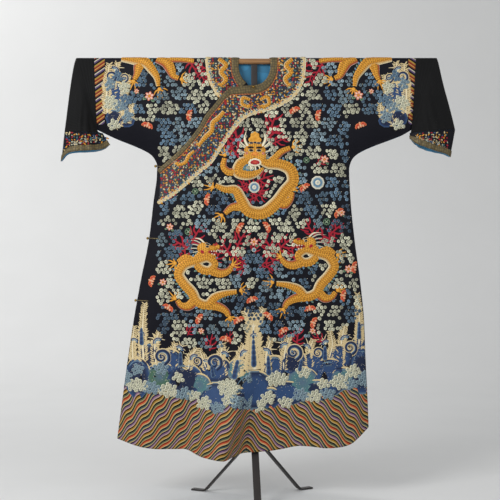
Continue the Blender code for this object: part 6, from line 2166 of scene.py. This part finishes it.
class ROBE_OT_dragons(bpy.types.Operator):
    """Embroiders the great dragon, the two side dragons, the shoulder dragons and those on the facing"""

    bl_idname = "robe.dragons"
    bl_label = "Dragons"

    def execute(self, context):
        looks = start_piece(context)
        for face, base, place in FACES:
            work = Needlework()
            for name, rows in DRAGON_LINES.items():
                kind = name.split("_")[0]
                limb = name.split("_")[-1] in ("arm", "leg", "thigh")
                over = 0.0 if limb else 0.9
                if kind != "collar":
                    dragon_body(work, rows, over, spines=not limb)
                if kind in PAIRED_DROPS:
                    drop = PAIRED_DROPS[kind] / 1000
                    dragon_body(work, rows, over, spines=not limb, mirror=-1.0, drop=drop)
            claws(work, CLAWS)
            for pair, drop in PAIRED_DROPS.items():
                claws(work, [(-x, z - drop, 180 - turn, size, kind)
                             for x, z, turn, size, kind in CLAWS if kind == pair])
            front_head(work, -5.5, 1205, HEAD_SIZE)
            side_head(work, 178, 886, HEAD_SIZE)
            side_head(work, -177, 866, HEAD_SIZE, mirror=-1.0)
            stitch(looks, work, "dragons_" + place, face, base)
        work, under, back = Needlework(), Needlework(), Needlework()
        for name, rows in DRAGON_LINES.items():
            if name.startswith("collar"):
                target = under if name == "collar_left" else work
                dragon_body(target, rows, 0.2)
                x, z, _ = rows[-1]
                side_head(target, x, z + 6, SMALL_HEAD_SIZE, mirror=1.0 if x > 0 else -1.0)
        trims = ((work, trim_rows(FRONT_TRIM, 90)), (under, trim_rows(UNDER_TRIM, 24, front=False)),
                 (back, back_trim_rows(70)))
        lines = [line for name, line in DRAGON_LINES.items() if name.startswith("collar")]
        for target, row in trims:
            edges = [np.column_stack([row[key + "_x"], SHOULDER_ARC + BAR_AXIS_Z - row[key + "_v"]])
                     for key in ("face_in", "face")]
            facing_field(target, *edges, lines)
            self.border(target, row)
        for mirror in (1.0, -1.0):
            for start in (36, 108):
                rows = [(start + x, z, width) for x, z, width in BACK_FACING_DRAGON]
                dragon_body(back, rows, 0.2, mirror=mirror)
                side_head(back, mirror * (start - 26), 1434, SMALL_HEAD_SIZE, mirror=mirror)
        stitch(looks, work, "facing_needlework_front", -1, facing_base, "facing_silk")
        stitch(looks, under, "facing_needlework_under", -1, under_facing_base, "facing_silk")
        stitch(looks, back, "facing_needlework_back", 1, back_facing_base, "facing_silk")
        return {"FINISHED"}

    def border(self, work, row):
        """Foam along a facing's outer edge: a cord, uneven cream domes, and seeded strokes pointing in."""
        x, v = row["face_x"], row["face_v"]
        rng = np.random.default_rng(13)
        inward = np.column_stack([row["face_in_x"] - x, -(row["face_in_v"] - v)])
        inward /= np.linalg.norm(inward, axis=1, keepdims=True)
        edge = np.column_stack([x, SHOULDER_ARC + BAR_AXIS_Z - v])
        ribbon(work, np.column_stack([edge + inward * 0.0028, np.full(len(x), 0.005)]),
               shades("dark_gold", "foam", "ivory", "ivory", "cream", "cream", "dark_gold"), height=0.9)
        for off, step, size, names in ((0.0080, 0.0085, 0.0054, ("cream", "foam", "foam", "cream")),
                                       (0.0120, 0.0190, 0.0050, ("royal", "pale_blue", "foam", "foam")),
                                       (0.0150, 0.0085, 0.0025, ("foam", "foam", "foam", "cream"))):
            mid = spline(np.column_stack([edge + inward * off, inward[:, 0]]), step)
            turn = np.arccos(np.clip(mid[:, 2], -1, 1)) + rng.uniform(-0.6, 0.6, len(mid))
            lobes(work, mid[:, 0], mid[:, 1], size * rng.uniform(0.8, 1.2, len(mid)), shades(*names),
                  aspect=3.0 if size < 0.003 else 1.0, turn=turn, height=1.2,
                  sectors=6 if size < 0.003 else 10)


class ROBE_OT_waves(bpy.types.Operator):
    """Embroiders the wave hills, peaks and foam over the hem, and the same at the sleeve ends"""

    bl_idname = "robe.waves"
    bl_label = "Waves and peaks"

    def execute(self, context):
        looks = start_piece(context)
        for face, base, place in FACES:
            work = Needlework()
            self.zone(work, MOUNDS, WHIRLS, PLUMES, SPRAYS, CLUMPS)
            nested_peaks(work, PEAKS)
            stitch(looks, work, "waves_" + place, face, base)
            ends = Needlework()
            for sign in (1, -1):
                crests = [(sign * x, z, radius, sign * hand) for x, z, radius, hand in SLEEVE_WHIRLS]
                jets = [mirrored(line, sign) for line in SLEEVE_PLUMES]
                self.zone(ends, mirrored(SLEEVE_MOUNDS, sign), crests, jets,
                          mirrored_sprays(SLEEVE_SPRAYS, sign), mirrored(SLEEVE_CLUMPS, sign))
            stitch(looks, ends, "sleeve_waves_" + place, face, base)
        return {"FINISHED"}

    def zone(self, work, rocks, crests, jets, splashes, swirls):
        """A stretch of sea: jets behind, then splashes and rocks, with crests and swirled clumps in front."""
        plumes(work, jets)
        sprays(work, splashes)
        mounds(work, rocks)
        whirls(work, crests)
        clumps(work, swirls)


class ROBE_OT_stand(bpy.types.Operator):
    """Builds the steel post, hub and bent legs round the solids, and finishes the wooden bar"""

    bl_idname = "robe.stand"
    bl_label = "Stand"

    def execute(self, context):
        looks = context.scene.robe_looks
        steel = finish_of("steel", looks)
        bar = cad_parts["bar"]
        bar.data.materials.clear()
        bar.data.materials.append(finish_of("wood", looks))
        low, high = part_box("post")
        middle = (low + high) / 2
        heights = np.linspace(low.z, high.z, 30)
        path = np.column_stack([np.full(30, middle.x), np.full(30, middle.y), heights])
        post = swept_bar("post_steel", path, (1.0, 0.0, 0.0), (high.x - low.x) / 2, (high.y - low.y) / 2,
                         POST_CORNER, steel)
        finish_piece(post, ["post"])
        low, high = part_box("hub")
        middle, radius, half = (low + high) / 2, (high.x - low.x) / 2, (high.z - low.z) / 2
        profile = [(0, -half), (radius - 0.002, -half), (radius, -half + 0.002), (radius, -half * 0.55),
                   (radius - 0.001, -half * 0.5), (radius - 0.001, half * 0.5), (radius, half * 0.55),
                   (radius, half - 0.002), (radius - 0.002, half), (0, half)]
        hub = lathe("hub_steel", profile, middle, steel, 48)
        hub.data.set_sharp_from_angle(angle=math.radians(50))
        finish_piece(hub, ["hub"])
        for name, turn in LEGS.items():
            leg = self.leg("leg_%s_steel" % name, math.radians(turn - 90), steel)
            finish_piece(leg, ["leg_" + name])
        return {"FINISHED"}

    def leg(self, name, turn, steel):
        """A flat bar bent at the knee: it slopes down from the hub, turns through an arc and runs level."""
        half = LEG_THICKNESS / 2
        start = np.array([HUB_RADIUS + SEAM, HUB_Z])
        knee = np.array([LEG_REACH - FOOT_LENGTH, half])
        slope = (knee - start) / np.linalg.norm(knee - start)
        upper = start + slope * np.linspace(0, np.linalg.norm(knee - start) - KNEE_RADIUS, 16)[:, None]
        share = np.linspace(0, 1, 8)[1:-1, None]
        first, last = knee - slope * KNEE_RADIUS, knee + np.array([KNEE_RADIUS, 0.0])
        bend = (1 - share) ** 2 * first + 2 * share * (1 - share) * knee + share ** 2 * last
        lower = np.column_stack([np.linspace(last[0], LEG_REACH, 8), np.full(8, half)])
        flat = np.concatenate([upper, bend, lower])
        away = np.array([math.cos(turn), math.sin(turn), 0.0])
        path = away * flat[:, :1] + np.array([POST_X, FRAME_Y, 0.0]) + np.array([0, 0, 1.0]) * flat[:, 1:]
        side = np.array([-math.sin(turn), math.cos(turn), 0.0])
        return swept_bar(name, path, side, LEG_WIDTH / 2, half, BAR_CORNER, steel)


class ROBE_OT_stage(bpy.types.Operator):
    """Sets the pale sweep, the soft light and the camera"""

    bl_idname = "robe.stage"
    bl_label = "Stage"

    def execute(self, context):
        looks = context.scene.robe_looks
        turn = np.linspace(0, math.pi / 2, 24)
        floor = np.column_stack([np.linspace(-7.0, SWEEP_Y - SWEEP_RADIUS, 24), np.zeros(24)])
        bend = np.column_stack([SWEEP_Y - SWEEP_RADIUS + SWEEP_RADIUS * np.sin(turn),
                                SWEEP_RADIUS * (1 - np.cos(turn))])[1:]
        wall = np.column_stack([np.full(12, SWEEP_Y), np.linspace(SWEEP_RADIUS, 7.0, 13)[1:]])
        section = np.concatenate([floor, bend, wall])
        across = np.linspace(-8.0, 8.0, 24)
        points = np.stack(np.broadcast_arrays(across[None, :], section[:, :1], section[:, 1:]), axis=-1)
        sweep = mesh_object("backdrop_sweep", points, grid_faces(len(section), 24).tolist(), points[..., :2],
                            [finish_of("paper", looks)])
        for name, size, place, aim, power in STAGE_LIGHTS:
            data = bpy.data.lights.new(name, "AREA")
            data.shape = "RECTANGLE"
            data.size, data.size_y = size
            data.energy = power * looks.light
            light = bpy.data.objects.new(name, data)
            light.location = place
            light.rotation_euler = (Vector(aim) - Vector(place)).to_track_quat("-Z", "Y").to_euler()
            context.scene.collection.objects.link(light)
        world = bpy.data.worlds.new("soft_room")
        world.use_nodes = True
        fill = world.node_tree.nodes["Background"]
        fill.inputs["Color"].default_value = (*linear("#f4f6f8"), 1.0)
        fill.inputs["Strength"].default_value = WORLD_STRENGTH
        context.scene.world = world
        view = bpy.data.cameras.new("view_camera")
        view.lens, view.sensor_width = CAMERA_LENS, 36.0
        camera = bpy.data.objects.new("view_camera", view)
        camera.location = CAMERA_PLACE
        camera.rotation_euler = (math.pi / 2, 0.0, 0.0)
        context.scene.collection.objects.link(camera)
        context.scene.camera = camera
        context.scene.view_settings.view_transform = "Standard"
        return {"FINISHED"}


OPERATORS = (
    ROBE_OT_panels, ROBE_OT_sleeves, ROBE_OT_trims, ROBE_OT_closures, ROBE_OT_clouds, ROBE_OT_dragons,
    ROBE_OT_waves, ROBE_OT_stand, ROBE_OT_stage,
)


class ROBE_PT_looks(bpy.types.Panel):
    """Lists the robe's sizes, colours and pieces"""

    bl_idname = "ROBE_PT_looks"
    bl_label = "Dragon robe"
    bl_space_type = "VIEW_3D"
    bl_region_type = "UI"
    bl_category = "Robe"

    def draw(self, context):
        looks = context.scene.robe_looks
        for name in RobeLooks.__annotations__:
            self.layout.prop(looks, name)
        for operator in OPERATORS:
            self.layout.operator(operator.bl_idname)


def register():
    """Registers the looks, the operators and the panel."""
    for kind in (RobeLooks, *OPERATORS, ROBE_PT_looks):
        bpy.utils.register_class(kind)
    bpy.types.Scene.robe_looks = bpy.props.PointerProperty(type=RobeLooks)


def unregister():
    """Takes away what register added."""
    del bpy.types.Scene.robe_looks
    for kind in reversed((RobeLooks, *OPERATORS, ROBE_PT_looks)):
        bpy.utils.unregister_class(kind)


def main():
    """Registers the add-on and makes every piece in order."""
    register()
    bpy.ops.robe.panels()
    bpy.ops.robe.sleeves()
    bpy.ops.robe.trims()
    bpy.ops.robe.closures()
    bpy.ops.robe.clouds()
    bpy.ops.robe.dragons()
    bpy.ops.robe.waves()
    bpy.ops.robe.stand()
    bpy.ops.robe.stage()


if __name__ == "__main__":
    main()
